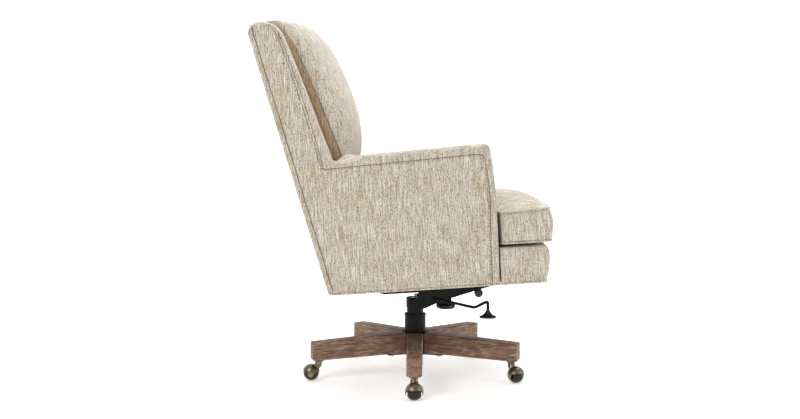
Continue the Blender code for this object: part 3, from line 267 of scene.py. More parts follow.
def turned(profile, foot=(0, 0, 0), axis=(0, 0, 1), steps=72):
    """Each profile point (r, h) swept round an axis: foot + h axis + r (cos t a + sin t b), with a
    and b square to the axis."""
    axis = unit(np.array(axis, float))
    a = unit(np.cross(axis, (0, 1, 0) if abs(axis[1]) < 0.9 else (1, 0, 0)))
    t = circle(steps)[:, None]
    r, h = np.array(profile, float).T[:, :, None, None]
    return np.array(foot, float) + h * axis + r * (np.cos(t) * a + np.sin(t) * np.cross(axis, a))


def eased(points, radii, steps=5):
    """An outline whose corners are arcs: for the corner's half angle h, the arc of radius r starts
    r / tan h from it and is centred r / sin h along the bisector. Radius 0 keeps the corner."""
    points = np.array(points, float)
    before, after = (unit(np.roll(points, step, axis=0) - points) for step in (1, -1))
    w = np.linspace(0, 1, steps + 1)[:, None]
    made = []
    for corner, to_last, to_next, radius in zip(points, before, after, radii):
        if radius == 0:
            made.append(corner[None])
            continue
        half = math.acos(np.clip(to_last @ to_next, -1, 1)) / 2
        centre = corner + unit(to_last + to_next) * radius / math.sin(half)
        first, last = (corner + to * radius / math.tan(half) - centre for to in (to_last, to_next))
        made.append(centre + radius * unit(first * (1 - w) + last * w))
    return np.concatenate(made)


BLACK_COAT = powder_coat()
ZINC = zinc_plate()
hub_low, hub_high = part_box("base_hub")
STAR_BOTTOM = hub_low.z
HUB_TOP = hub_high.z
STAR_TOP = STAR_BOTTOM + 0.004
SLEEVE = 0.0335         # outer radius of the hub's sleeve
SLEEVE_BORE = 0.0253
SLEEVE_FOOT = SLEEVE + 0.004
STAR_ROOT = 0.036       # start and end of each arm from the swivel axis
STAR_REACH = 0.094
STAR_ARM = 0.015        # half its width


def make_hub():
    """The sleeve is a turned profile; the star is an outline that jumps out from disc to arm."""
    lip, waist = SLEEVE + 0.0006, SLEEVE - 0.0006
    profile = eased([(SLEEVE_BORE, STAR_BOTTOM), (SLEEVE_BORE, HUB_TOP), (SLEEVE, HUB_TOP),
                     (lip, HUB_TOP - 0.006), (waist, HUB_TOP - 0.0085), (waist, STAR_TOP + 0.008),
                     (SLEEVE_FOOT, STAR_TOP), (SLEEVE_FOOT, STAR_BOTTOM)],
                    [0, 0.0015, 0.002, 0.001, 0.001, 0.004, 0.0006, 0])
    sleeve = mesh_piece("hub_sleeve", turned(np.vstack([profile, profile[:1]]), steps=96))
    dress(sleeve, BLACK_COAT, "base", "black_steel", "base_hub")
    outline = []
    for i in range(LEG_COUNT):
        turn = FIRST_LEG + i * LEG_STEP
        along, side = heading(turn)[:2], STAR_ARM * heading(turn + math.pi / 2)[:2]
        outline += [along * STAR_ROOT - side, along * STAR_REACH - side, along * STAR_REACH + side,
                    along * STAR_ROOT + side]
    ring = eased(outline, [0.006, 0.005, 0.005, 0.006] * LEG_COUNT)
    bore = unit(ring) * (SLEEVE + 0.002)
    levels = ((bore, STAR_BOTTOM), (ring * 0.996, STAR_BOTTOM), (ring, STAR_BOTTOM + 0.0006),
              (ring, STAR_TOP - 0.0006), (ring * 0.996, STAR_TOP), (bore, STAR_TOP), (bore, STAR_BOTTOM))
    star = mesh_piece("star_plate", np.stack([xyz(*flat.T, z) for flat, z in levels]), sharp=30)
    dress(star, BLACK_COAT, "base", "black_steel")


make_hub()
paint(BLACK_COAT, "outer_tube")
paint(ZINC, *[f"leg_bolt_{i + 1}" for i in range(LEG_COUNT)])

# The legs. Five solid oak beams taper a little towards the ends. They are planed, their edges are
# eased, and they are stained brown, limed and rubbed back, so that pale lime stays in the pores
# and on the worn edges, and the grain runs out along each leg.
GRAIN_WIDTH = 0.0032    # spacing of the grain lines across a leg
GRAIN_LENGTH = 0.110    # length of one grain streak
PORE_WIDTH = 0.0016     # the oak's open pores, drawn about four times their size


def mapped(tree, place, **how):
    """A place turned, moved or scaled."""
    return add(tree, "ShaderNodeMapping", {}, {"Vector": place, **how}).outputs["Vector"]


def reckon(tree, operation, *values):
    """One sum on values or other nodes' outputs."""
    return add(tree, "ShaderNodeMath", {"operation": operation}, dict(enumerate(values))).outputs["Value"]


def limed_oak(turn):
    """Stained and limed oak for a leg turned this far: long grain bands, lime in the pores, and
    greyer worn patches, all from noise that is drawn out along the leg."""
    made, tree, place = new_finish(f"limed_driftwood_oak_{round(math.degrees(turn)) % 360}", IOR=1.5)
    along = mapped(tree, place, Rotation=(0, 0, -turn))
    band = mapped(tree, along, Scale=(1 / GRAIN_LENGTH, 1 / GRAIN_WIDTH / 3, 1 / GRAIN_WIDTH / 2))
    pore = mapped(tree, along, Scale=(4 / GRAIN_LENGTH, 1 / PORE_WIDTH, 1 / PORE_WIDTH))
    bands, pores = noise(tree, band, 1, 5, Distortion=0.6), noise(tree, pore, 1, 3)
    worn = remap(tree, noise(tree, along, 26, 4), 0.40, 0.60, 0, 0.80)
    lime = reckon(tree, "MULTIPLY", remap(tree, pores, 0.50, 0.66, 0, 0.85), worn)
    colour = blend(tree, remap(tree, bands, 0.36, 0.64), "#573D2E", "#8C6A51")
    colour = blend(tree, lime, colour, "#D2BCA6")
    colour = blend(tree, remap(tree, pores, 0.44, 0.34, 0, 0.6), colour, "#3E2C22")
    wire(tree, colour, remap(tree, pores, 0, 1, 0.50, 0.75), pores, 0.5, 0.0004)
    return made


for i in range(LEG_COUNT):
    paint(limed_oak(FIRST_LEG + i * LEG_STEP), f"leg_{i + 1}")

# The gas column. A plated cylinder slides in a nylon bush in the hub, on a piston rod that turns
# on a small thrust bearing. Almost all of it is inside the hub; the release pin stands out on top.
SPARK_GRAIN = 0.0009    # grain of the mould's spark-eroded face


def moulded_nylon(name, colour):
    """Moulded nylon: one colour, a soft gloss and the mould's fine grain."""
    made, tree, place = new_finish(name, Base_Color=linear(colour), IOR=1.53)
    grain = noise(tree, place, 1 / SPARK_GRAIN, 2)
    wire(tree, None, remap(tree, grain, 0, 1, 0.38, 0.60), grain, 0.3, 0.0002)
    return made


BLACK_NYLON = moulded_nylon("black_glass_filled_nylon", "#0B0B0C")
paint(moulded_nylon("natural_nylon", "#D8D5CA"), "guide_bush")
paint(ZINC, "gas_cylinder", "piston_rod", "thrust_bearing", "release_pin")

# The casters. Each is a ball of dark glossy hard rubber on a steel axle, under a drawn brass hood
# that reaches down to the axle in a round ear on both sides. A turned collar and neck join the
# hood to a steel stem in the leg. The brass is chemically darkened, and rubbed bright in clouds.
CASTER_CIRCLE = 0.307
CASTER_TRAIL = 0.024
TRAIL_TURNS = tuple(math.radians(a) for a in (-90, -60, 75, 150, 180))
BALL = 0.024            # radius of the ball, which stands on the floor
BALL_HALF_WIDTH = 0.0195
HOOD_INSIDE = 0.0249
HOOD_OUTSIDE = 0.0263
LEG_UNDERSIDE = 0.0643
NECK_LEAN = 0.0085      # how far the neck leans back over the ball


def antique_brass():
    """Antiqued brass: dark brown patina in clouds, warm metal where hands and dust have rubbed it."""
    made, tree, place = new_finish("antique_brass", Metallic=1.0)
    cloud = noise(tree, place, 95, 6, Roughness=0.65)
    rub = remap(tree, cloud, 0.30, 0.70)
    rough = remap(tree, rub, 0, 1, 0.42, 0.24)
    wire(tree, blend(tree, rub, "#564B3C", "#9E917C"), rough, cloud, 0.25, 0.0003)
    return made


def ball_rubber():
    """Hard moulded rubber, polished: brown black and glossy, with faint scuffs in the gloss."""
    made, tree, place = new_finish("polished_hard_rubber", IOR=1.52, Specular_IOR_Level=0.35)
    scuff = noise(tree, place, 160, 5)
    wire(tree, blend(tree, scuff, "#0A0806", "#14100D"), remap(tree, scuff, 0.40, 0.70, 0.06, 0.18))
    return made


def ramp(value, zero, one):
    """0 as far as zero, 1 from one onwards, and straight between, upwards or downwards."""
    return np.clip((value - zero) / (one - zero), 0, 1)


def hood_shell(centre, trail, radius, rows=26, columns=120):
    """Part of a sphere, from its pole down to an edge at 78 degrees from it, 6 less ahead and 6 more
    behind, that swells by 36 degrees to an ear at each end of the axle."""
    around = circle(columns)
    from_axle = np.abs(np.degrees(np.arcsin(np.cos(around))))
    ear = np.exp(-(from_axle / 21.0) ** 4)
    polar = np.linspace(0, 1, rows)[:, None] * np.radians(78.0 - 6.0 * np.cos(around) + 36.0 * ear)
    x, y = np.cos(around + trail), np.sin(around + trail)
    return centre + radius * xyz(np.sin(polar) * x, np.sin(polar) * y, np.cos(polar))


BRASS = antique_brass()
RUBBER = ball_rubber()


def make_caster(i):
    """Hood, neck with its collar, axle ends and ball, each about its own axis."""
    turn, trail, number = FIRST_LEG + i * LEG_STEP, TRAIL_TURNS[i], i + 1
    stem, ahead, axle = CASTER_CIRCLE * heading(turn), heading(trail), heading(trail + math.pi / 2)
    centre = stem + CASTER_TRAIL * ahead + (0, 0, BALL)
    outside, inside = (hood_shell(centre, trail, radius) for radius in (HOOD_OUTSIDE, HOOD_INSIDE))
    lip = np.stack([outside[-1], (outside[-1] + inside[-1]) / 2 - (0, 0, 0.0004), inside[-1]])
    hood = mesh_piece(f"caster_hood_shell_{number}", outside, inside, lip, sharp=50)
    dress(hood, BRASS, f"caster_{number}", "antique_brass", f"caster_hood_{number}")
    top = LEG_UNDERSIDE - 0.0003
    profile = eased([(0, 0), (0.0160, 0), (0.0160, -0.0035), (0.0118, -0.0055), (0.0105, -0.0105),
                     (0.0125, -0.0190), (0.0090, -0.0290), (0, -0.0300)],
                    [0, 0.0012, 0.0015, 0.002, 0.004, 0.004, 0.003, 0])
    neck = turned(profile, stem + (0, 0, top), steps=48)
    # Below the collar the neck leans back over the ball, so that it runs into the hood
    neck = neck + ramp(neck[..., 2:], top - 0.006, top - 0.028) ** 1.3 * NECK_LEAN * ahead
    reach = np.linalg.norm(neck - centre, axis=-1, keepdims=True)
    wall = (HOOD_INSIDE + HOOD_OUTSIDE) / 2
    neck = np.where(reach < wall, centre + wall * unit(neck - centre), neck)
    dress(mesh_piece(f"caster_neck_{number}", neck, sharp=50), BRASS, f"caster_{number}", "antique_brass")
    edge = math.asin(BALL_HALF_WIDTH / BALL)
    rim = np.linspace(edge, -edge, 25)
    bore = np.array([(0.0033, 0), (0.0060, 0), (0.0120, -0.0004)]) + (0, BALL_HALF_WIDTH)
    tread = BALL * np.column_stack([np.cos(rim), np.sin(rim)])
    profile = np.vstack([bore, tread, (bore * (1, -1))[::-1], bore[:1]])
    ball = mesh_piece(f"caster_ball_{number}", turned(profile, centre, axle, 64))
    dress(ball, RUBBER, f"wheel_{number}", "caster_ball", f"caster_wheel_{number}")
    # Peened axle ends stand a little proud of the ears
    head = eased([(0, 0.0008), (0.0028, 0.0008), (0.0034, 0), (0, 0)], [0, 0.0006, 0, 0])
    ends = [turned(head, centre + side * axle * (HOOD_OUTSIDE - 0.0006), side * axle, 24) for side in (-1, 1)]
    dress(mesh_piece(f"axle_ends_{number}", *ends), BRASS, f"caster_{number}", "antique_brass")
    paint(ZINC, f"caster_stem_{number}", f"caster_axle_{number}")


for i in range(LEG_COUNT):
    make_caster(i)

# The tilt mechanism. A receiver sleeve is pressed onto the column's taper and welded to an open
# channel of folded steel, powder coated black. It carries the tilt axle, the lever and the tension
# spring, whose screw ends below in a big lobed hand wheel of moulded nylon.
KNOB_X = 0.0960
KNOB_RADIUS = 0.030
RECEIVER = 0.0282       # radius of the receiver's sleeve
CLAMP = 0.0262          # radius of the clamp ring at its lower end
knob_low, knob_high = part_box("tension_knob")


def make_hand_wheel():
    """A turned profile whose radius swells and shrinks seven times round: r (1 + 0.035 cos 7t)."""
    low, high, r, steps = knob_low.z, knob_high.z, KNOB_RADIUS, 140
    profile = eased([(0.0053, low + 0.0055), (0.0053, high), (0.016, high), (0.018, high - 0.002),
                     (r - 0.003, high - 0.003), (r, high - 0.008), (r - 0.002, low + 0.003),
                     (r - 0.008, low), (0.012, low), (0.010, low + 0.0012), (0, low + 0.0012)],
                    [0, 0, 0.001, 0.001, 0.002, 0.003, 0.003, 0.003, 0.0008, 0.0005, 0])
    lobes = 1 + 0.035 * np.cos(7 * circle(steps)) * ramp(profile[:, 0], 0.018, 0.028)[:, None]
    grid = turned(profile, steps=steps) * xyz(lobes, lobes, 1.0) + (KNOB_X, 0, 0)
    wheel = mesh_piece("tension_hand_wheel", grid, sharp=50)
    dress(wheel, BLACK_NYLON, "tension_knob", "moulded_black", "tension_knob")


def make_receiver():
    """The receiver's upper sleeve and its narrower clamp ring, turned round the column."""
    profile = eased([(CLAMP, 0.1957), (CLAMP, 0.2104), (RECEIVER, 0.2112), (RECEIVER, 0.2400),
                     (CLAMP, 0.2424), (0.0150, 0.2424)], [0.0006, 0.0004, 0.0012, 0.0016, 0.0008, 0])
    sleeve = mesh_piece("receiver_sleeve", turned(profile[:-1], steps=84))
    dress(sleeve, BLACK_COAT, "mechanism", "black_steel")


make_hand_wheel()
make_receiver()
paint(BLACK_COAT, "tilt_housing", "seat_plate", "tilt_axle", "tilt_lock_rod")
paint(ZINC, "tension_bolt", "tension_spring")

# The lift lever. A cranked steel rod turns in the channel's walls, with a flat finger over the
# release pin. It bends up, out and down again to a flared paddle of moulded nylon for the fingers.
LEVER_ROD = 0.0034
SLEEVE_WALL = 0.0010    # thickness of the plastic sleeve on the rod's outer part
PADDLE = (0.2070, -0.2240)      # its place in x and y
PADDLE_DEEP = 0.72      # the paddle's depth over its width


def even(path, step):
    """A path's points spaced evenly along its length, about a step apart."""
    length = np.concatenate([[0], np.cumsum(np.linalg.norm(np.diff(path, axis=0), axis=1))])
    places = np.linspace(0, length[-1], max(2, round(length[-1] / step)) + 1)
    return np.column_stack([np.interp(places, length, path[:, k]) for k in range(path.shape[1])])


def smooth_path(points, step):
    """A Catmull-Rom curve through points, then spaced evenly: between p1 and p2 it is
    0.5 (2 p1 + (p2 - p0) t + (2 p0 - 5 p1 + 4 p2 - p3) t^2 + (3 p1 - p0 - 3 p2 + p3) t^3)."""
    p = np.array(points, float)
    p = np.vstack([2 * p[0] - p[1], p, 2 * p[-1] - p[-2]])
    t = np.linspace(0, 1, 16, endpoint=False)[None, :, None]
    a, b, c, d = (p[k:len(p) - 3 + k][:, None] for k in range(4))
    bend, twist = 2 * a - 5 * b + 4 * c - d, 3 * b - a - 3 * c + d
    fine = 0.5 * (2 * b + (c - a) * t + bend * t ** 2 + twist * t ** 3)
    return even(np.vstack([fine.reshape(-1, p.shape[1]), p[-2]]), step)


def tube(path, radius, upright, closed=False, sides=10, flat=1.0):
    """A round section carried along a path: p + r (cos t n + flat sin t m), with n square to the path
    and to upright, and m square to both. Open ends shrink to a point."""
    path = np.array(path, float)
    ahead = np.roll(path, -1, axis=0) - np.roll(path, 1, axis=0) if closed else np.gradient(path, axis=0)
    ahead = unit(ahead)
    n = unit(np.cross(ahead, upright))
    m = np.cross(n, ahead)
    t = circle(sides)[None, :, None]
    rings = path[:, None] + radius * (np.cos(t) * n[:, None] + flat * np.sin(t) * m[:, None])
    if closed:
        return np.concatenate([rings, rings[:1]])
    ends = np.repeat(path[[0, -1], None], sides, axis=1)
    return np.concatenate([ends[:1], rings, ends[1:]])


def make_lever():
    """The rod follows a smooth path through its bends, sleeved outside the housing; the finger is a
    flat taper over the pin."""
    route = [(0.055, 0.035, 0.244), (0.055, 0.0, 0.244), (0.055, -0.030, 0.244), (0.0585, -0.040, 0.2437),
             (0.066, -0.0515, 0.2430), (0.115, -0.1180, 0.2415), (0.160, -0.1790, 0.2399),
             (0.1705, -0.1925, 0.2405), (0.180, -0.2010, 0.2455), (0.198, -0.2160, 0.2575),
             (0.2040, -0.2205, 0.2600), (0.2066, -0.2234, 0.2588), (*PADDLE, 0.2550), (*PADDLE, 0.2300)]
    path = smooth_path(route, 0.0025)
    thickness = LEVER_ROD + SLEEVE_WALL * ramp(path[:, 1], -0.050, -0.052)
    rod = tube(path, thickness[:, None, None], (0.55, 0.65, 0.52), sides=20)
    top = np.array([(-0.004, 0.2523), (0.008, 0.2533), (0.047, 0.248), (0.055, 0.2465)])
    low = np.array([(-0.004, 0.2494), (0.008, 0.2494), (0.047, 0.243), (0.055, 0.242)])
    finger = [np.insert(line, 1, y, axis=1) for line, y in
              ((low, -0.0038), (top, -0.0038), (top, 0.0038), (low, 0.0038))]
    lever = mesh_piece("lever_rod", rod, np.stack(finger, axis=1), capped=True)
    dress(lever, BLACK_COAT, "lift_lever", "moulded_black", "lift_lever")
    profile = eased([(0, 0.2370), (0.0052, 0.2370), (0.0066, 0.2330), (0.0145, 0.2235), (0.0248, 0.2195),
                     (0.0252, 0.2168), (0.0225, 0.2140), (0.0120, 0.2128), (0, 0.2128)],
                    [0, 0.001, 0.004, 0.006, 0.0008, 0.0010, 0.003, 0.004, 0], steps=6)
    grid = turned(profile, steps=80) * (1, PADDLE_DEEP, 1) + (*PADDLE, 0)
    paddle = mesh_piece("lever_paddle_cap", grid, sharp=60)
    dress(paddle, BLACK_NYLON, "lift_lever", "moulded_black", "lever_paddle")


make_lever()

# The tilt lock. A steel rod runs out through the seat plate's flange to a round push-pull knob of
# moulded nylon, ribbed round its rim for grip.
lock_low, lock_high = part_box("tilt_lock_knob")
LOCK_RADIUS = 0.0122


def make_lock_knob():
    """A turned knob with 24 ribs: the rim's radius is r (1 + 0.03 cos 24t)."""
    centre = np.array([(lock_low.x + lock_high.x) / 2, lock_high.y, (lock_low.z + lock_high.z) / 2])
    deep, r, steps = lock_high.y - lock_low.y, LOCK_RADIUS, 144
    profile = eased([(0.0043, deep - 0.006), (0.0043, 0), (r * 0.55, 0), (r * 0.92, 0.0020), (r, 0.0060),
                     (r, deep - 0.005), (r * 0.9, deep - 0.0006), (r * 0.5, deep), (0, deep)],
                    [0, 0, 0.001, 0.001, 0.001, 0.002, 0.002, 0.004, 0])
    ribs = 1 + 0.03 * np.cos(24 * circle(steps)) * (profile[:, 0] > r * 0.96)[:, None]
    grid = turned(profile, axis=(0, -1, 0), steps=steps) * xyz(ribs, 1.0, ribs) + centre
    grip = mesh_piece("tilt_lock_grip", grid, sharp=60)
    dress(grip, BLACK_NYLON, "tilt_lock", "moulded_black", "tilt_lock_knob")


make_lock_knob()

# The seat's inner frame. Kiln-dried hardwood rails carry the webbed seat deck, which is covered in
# the chair's own cloth where it shows, and a black non-woven dust cover is stapled on underneath.
SEAT_PITCH = math.radians(3.6)
HALF = 0.345            # half the width of the upholstered body
ARM = 0.075             # thickness of an arm
ARM_FRONT = 0.2540      # front face of the arms
BOTTOM = 0.3122         # underside of the body, in the body's own frame
BACK_FOOT = -0.2262
RAKE = math.radians(13.27)
YARN = 0.0024           # pitch of the slub yarns, drawn more than twice as coarse so that they show
SLUB = 0.030            # length of one thick place in a yarn
BLOTCH = 0.045          # size of the areas where one dyed yarn gathers
STAPLE_PITCH = 0.040
STAPLE = (0.0055, 0.0006)       # half a staple's length and half its width


def to_chair(points, pitch=SEAT_PITCH):
    """The body's own frame pitched back: x cos f - z sin f along, x sin f + z cos f up. With minus
    that pitch it is the way back."""
    x, y, z = np.moveaxis(points, -1, 0)
    c, s = math.cos(pitch), math.sin(pitch)
    return np.stack([x * c - z * s, y, x * s + z * c], axis=-1)


def read(items, key, width=1, kind=float):
    """One property of every vertex, face or face corner of a mesh, as an array."""
    values = np.empty(len(items) * width, kind)
    items.foreach_get(key, values)
    return values.reshape(-1, width) if width > 1 else values


def lay_cloth(piece):
    """A UV map in metres with the yarns upright: on faces that look sideways x and z of the body's
    frame, and on all others y and z - x, so that the cloth runs on over a top edge."""
    mesh = piece.data
    points = to_chair(read(mesh.vertices, "co", 3), -SEAT_PITCH)
    x, y, z = points[read(mesh.loops, "vertex_index", 1, int)].T
    sideways = np.abs(read(mesh.polygons, "normal", 3)[:, 1]) > 0.72
    sideways = np.repeat(sideways, read(mesh.polygons, "loop_total", 1, int))
    layer = mesh.uv_layers.new(name="cloth")
    uv = np.column_stack([np.where(sideways, x, y + 3.0), np.where(sideways, z, z - x)])
    layer.data.foreach_set("uv", uv.ravel())


def slub_tweed(name, shade_and_thread_tint):
    """Oatmeal slub tweed: cream and sand warp in upright streaks, a finer weft across, blotches of
    ochre and tan, short dark flecks. Both yarns stand in the relief. The tint multiplies the colour: white
    keeps the cloth as it is, and darker tints make copies with painted shade for recesses and seams, and the
    darker thread of the stitches."""
    made, tree, cloth = new_finish(name, uv="cloth", Roughness=0.92, Specular_IOR_Level=0.25,
                                   Sheen_Weight=0.25, Sheen_Roughness=0.5)

    def yarns(width, length, detail, shift=0.0):
        """Noise whose features are this wide across the warp and this long up it."""
        place = mapped(tree, cloth, Location=(shift, shift, 0), Scale=(1 / width, 1 / length, 1))
        inputs = {"Vector": place, "Scale": 1.0, "Detail": detail}
        return add(tree, "ShaderNodeTexNoise", {"noise_dimensions": "2D"}, inputs).outputs["Fac"]

    warp, weft = yarns(YARN, SLUB, 2), yarns(SLUB * 0.7, YARN, 3, 3.1)
    wide = yarns(YARN * 2.2, SLUB * 2.5, 2, 7.3)
    blotch = remap(tree, yarns(BLOTCH, BLOTCH * 1.5, 4, 11.7), 0.43, 0.62)
    ochre = remap(tree, yarns(YARN * 1.3, YARN * 4.5, 2, 5.9), 0.44, 0.64, 0, 0.75)
    fleck = yarns(YARN * 0.9, YARN * 2.6, 1, 17.2)
    fine = yarns(YARN * 0.5, YARN * 0.5, 1, 23.9)
    pale = yarns(YARN * 0.8, SLUB * 2.0, 1, 29.4)
    colour = blend(tree, remap(tree, warp, 0.36, 0.66), "#CAC4B9", "#A49A8A")
    for share, over in ((remap(tree, wide, 0.50, 0.70, 0, 0.55), "#8B8072"),
                        (remap(tree, weft, 0.53, 0.68, 0, 0.45), "#9D9282"),
                        (reckon(tree, "MULTIPLY", blotch, ochre), "#A68C66"),
                        (remap(tree, fleck, 0.60, 0.68, 0, 0.85), "#494237"),
                        (remap(tree, pale, 0.55, 0.68, 0, 0.60), "#E0DBD2")):
        colour = blend(tree, share, colour, over)
    height = reckon(tree, "MULTIPLY_ADD", fine, 0.5, warp)
    height = reckon(tree, "MULTIPLY_ADD", weft, 0.6, height)
    wire(tree, blend(tree, 1.0, colour, shade_and_thread_tint, "MULTIPLY"), None, height, 0.55, 0.0009)
    return made


def cloth_piece(piece, material, *nodes):
    """A finished piece of upholstery: its cloth laid, on the seat, for these nodes."""
    lay_cloth(piece)
    return dress(piece, material, "seat", "tweed", *nodes)


def cambric():
    """Spun-bonded black dust cover: matt, thin, with the dimples of its bonding points."""
    made, tree, place = new_finish("black_spun_bonded_cambric", Roughness=0.95, Sheen_Weight=0.3)
    dimple = add(tree, "ShaderNodeTexVoronoi", {}, {"Vector": place, "Scale": 420}).outputs["Distance"]
    wire(tree, blend(tree, noise(tree, place, 90, 4), "#09090A", "#19191A"), None, dimple, 0.4, 0.0004)
    return made


def sawn_hardwood():
    """Plain sawn hardwood: pale brown, dull, its grain drawn out across the chair."""
    made, tree, place = new_finish("sawn_frame_hardwood", Roughness=0.75)
    grain = noise(tree, mapped(tree, place, Scale=(160, 9, 160)), 1, 5)
    wire(tree, blend(tree, grain, "#8A6B47", "#C9A97C"), None, grain, 0.4, 0.0005)
    return made


TWEED = slub_tweed("oatmeal_slub_tweed", "#FFFFFF")
# A copy of the tweed darkened to paint shade: on the strips over the back pad's boxed sides and on the seat
# deck.
TWEED_WITH_PAINTED_SHADE = slub_tweed("oatmeal_slub_tweed_with_painted_shade", "#E4D0B4")
# A darker copy for the seams: on the ridges it is painted shade of the seam grooves, on the stitches the
# darker thread.
SEAM_TWEED_THREAD_AND_SHADE = slub_tweed("oatmeal_slub_tweed_thread_and_seam_shade", "#B5A48C")
paint(sawn_hardwood(), "back_deck", "seat_rail_1", "seat_rail_2", "seat_rail_3")


def back_line(z):
    """The back's rear line in the side view: it leans back by the rake."""
    return BACK_FOOT - (z - BOTTOM) * math.tan(RAKE)


def staple(x, y, a, b):
    """A flat bar under the dust cover, its box closed to the middle above and below."""
    ring = np.array([(x - a, y - b), (x + a, y - b), (x + a, y + b), (x - a, y + b)])
    middle = np.broadcast_to((x, y), ring.shape)
    low, high = BOTTOM - 0.0010, BOTTOM - 0.0003
    rows = [xyz(*flat.T, z) for flat, z in ((middle, low), (ring, low), (ring, high), (middle, high))]
    return to_chair(np.stack(rows))


def make_dust_cover():
    """A sheet that sags 3 mm between its stapled edges: drop (1 - u^4)(1 - v^4)."""
    rear, front, half = back_line(BOTTOM) + 0.031, ARM_FRONT, HALF - ARM - 0.001
    u, v = np.meshgrid(np.linspace(-1, 1, 41), np.linspace(-1, 1, 41), indexing="ij")
    x, y = rear + (front - rear) * (u + 1) / 2, v * half
    beside_plate = 1 - ramp(np.abs(y), 0.13, 0.11)
    z = BOTTOM - 0.0002 - 0.0030 * (1 - u ** 4) * (1 - v ** 4) * beside_plate
    faces = [to_chair(xyz(x, y, z + thick)) for thick in (0, 0.0011)]
    cover = mesh_piece("black_dust_cover", *faces, around=False)
    dress(cover, cambric(), "seat", "cambric", "dust_cover")
    bars = [staple(along, side * (half - 0.006), *STAPLE) for side in (-1, 1)
            for along in np.arange(rear + 0.02, front - 0.01, STAPLE_PITCH)]
    bars += [staple(along, across, *STAPLE[::-1]) for along in (rear + 0.006, front - 0.008)
             for across in np.arange(-half + 0.02, half, STAPLE_PITCH)]
    dress(mesh_piece("dust_cover_staples", *bars), ZINC, "seat", "cambric")


make_dust_cover()

# The sides. Each is one padded panel: arm and wing on a hardwood frame, covered in foam and cloth.
# A border strip wraps the arm's top and front and the wing's edge, and is joined to the outside
# panel by a flat seam with a row of stitches beside it. The bottom edge is piped.
ARM_TOP_REAR = 0.6925
ARM_TOP_FRONT = 0.7045
WING_FOOT = -0.1955
WING_LEAN = 0.2621
WING_CURL = 0.1383
BACK_TOP = 1.0730       # the back's top at its sides
ARCH = 0.026            # how much higher the middle of the top is
TOP_ROLL = 0.031        # radius with which the top rolls over into the rear
REAR_PANEL = 0.012      # thickness of the outside back
EDGE = 0.0195           # radius to which the panels' edges roll over
SHOULDER = (-0.1080, 0.6939)    # where the arm's top turns level
ARM_DIP = 0.6740        # height of the wing's foot, where the arm's top begins
PIPING = 0.0030
CAP = 0.003             # how much further in than its roll a panel's flat end begins
CLEAR = 0.0003          # gap between neighbouring panels
WING_SEAMS = 0.0075     # how far the two seams on the wing are apart
WING_SLANT = 0.007      # how far the wing's edge slants back towards the inside
ARM_RISE = 0.017        # how much the arm's inner edge rises beside the inside back
SIDE_CROWN = 0.0012     # how far the foam crowns the sides' narrow faces
FOOT_SHARE = 0.35       # part of the edges' roll that the underside takes
REAR_SHARE = 0.25
JOINT_SHARE = 0.92      # part of it that is taken back where the front border meets the arm
RIDGE = 0.0012          # radius of the ridge along the flat seam
WING_RIDGE = 0.0009
REAR_RIDGE = 0.0008
STITCH = 0.0058         # length of a stitch
STITCH_GAP = 0.0036
STITCH_OFFSET = 0.004   # how far the row of stitches is from the seam
THREAD = 0.0007


def wing_line(z):
    """The wing's front edge: it leans back and curls back further with height."""
    up = z - ARM_TOP_REAR
    return WING_FOOT - WING_LEAN * up - WING_CURL * up * np.abs(up)


def arched(points):
    """Lifts what is near the top by ARCH (1 - (y / half)^2), eased in with height, along the rake."""
    t = ramp(points[..., 2], BACK_TOP - 0.17, BACK_TOP - 0.02)
    rise = ARCH * (1 - (points[..., 1] / HALF) ** 2) * t * t * (3 - 2 * t)
    return points + xyz(-rise * math.tan(RAKE), 0, rise)


def drawn_in(corners, radii, inset, steps, shares=1.0):
    """An eased outline whose edges move inwards by their shares a, b of the inset. With m and n square
    to a corner's edges, it moves by (a + b)/2 (m + n)/(1 + m . n) + (a - b)/2 (m - n)/(1 - m . n)."""
    corners = np.array(corners, float)
    ahead = unit(np.roll(corners, -1, axis=0) - corners)
    n = np.column_stack([-ahead[:, 1], ahead[:, 0]])
    m = np.roll(n, 1, axis=0)
    cosine = np.sum(m * n, axis=1)[:, None]
    b = inset * np.broadcast_to(shares, len(corners))[:, None]
    a = np.roll(b, 1, axis=0)
    moved = corners + (a + b) / 2 * (m + n) / (1 + cosine)
    moved += (a - b) / 2 * (m - n) / np.maximum(1 - cosine, 1e-6)
    outer = np.cross(np.roll(ahead, 1, axis=0), ahead) > 0
    radii = np.array(radii, float)
    changed = np.where(outer, np.maximum(radii - inset, 0.0004), radii + inset)
    return eased(moved, np.where(radii > 0, changed, 0), steps)


def carried(corners, radii, rings, pitch, shares=1.0, steps=8):
    """A closed outline of (x, z) corners carried across the chair: ring k stands at y_k and its edges
    are drawn in by their shares of d_k. Edges longer than the pitch are divided alike on every ring."""
    base = drawn_in(corners, radii, 0.0, steps)
    lengths = np.linalg.norm(np.roll(base, -1, axis=0) - base, axis=1)
    parts = np.maximum(1, np.ceil(lengths / pitch)).astype(int)
    edge = np.repeat(np.arange(len(base)), parts)
    share = ((np.arange(len(edge)) - np.repeat(np.cumsum(parts) - parts, parts)) / parts[edge])[:, None]
    made = []
    for y, d in rings:
        ring = drawn_in(corners, radii, d, steps, shares)
        ring = ring[edge] * (1 - share) + ring[(edge + 1) % len(ring)] * share
        made.append(np.insert(ring, 1, y, axis=1))
    return np.stack(made)


def rolled(outer, inner, radius, crown, flat=9):
    """Rings (y, inset) from one face over a rolled edge, a crowned flat and another rolled edge."""
    turn = np.linspace(0, np.pi / 2, 8)
    over, inset = np.sign(outer - inner) * radius * (1 - np.cos(turn)), radius * (1 - np.sin(turn))
    first, last = list(zip(outer - over, inset)), list(zip(inner + over, inset))[::-1]
    w = np.linspace(0, 1, flat + 2)[1:-1]
    middle = list(zip(first[-1][0] * (1 - w) + last[0][0] * w, -crown * 4 * w * (1 - w)))
    return [(outer, radius + CAP)] + first + middle + last + [(inner, radius + CAP)]


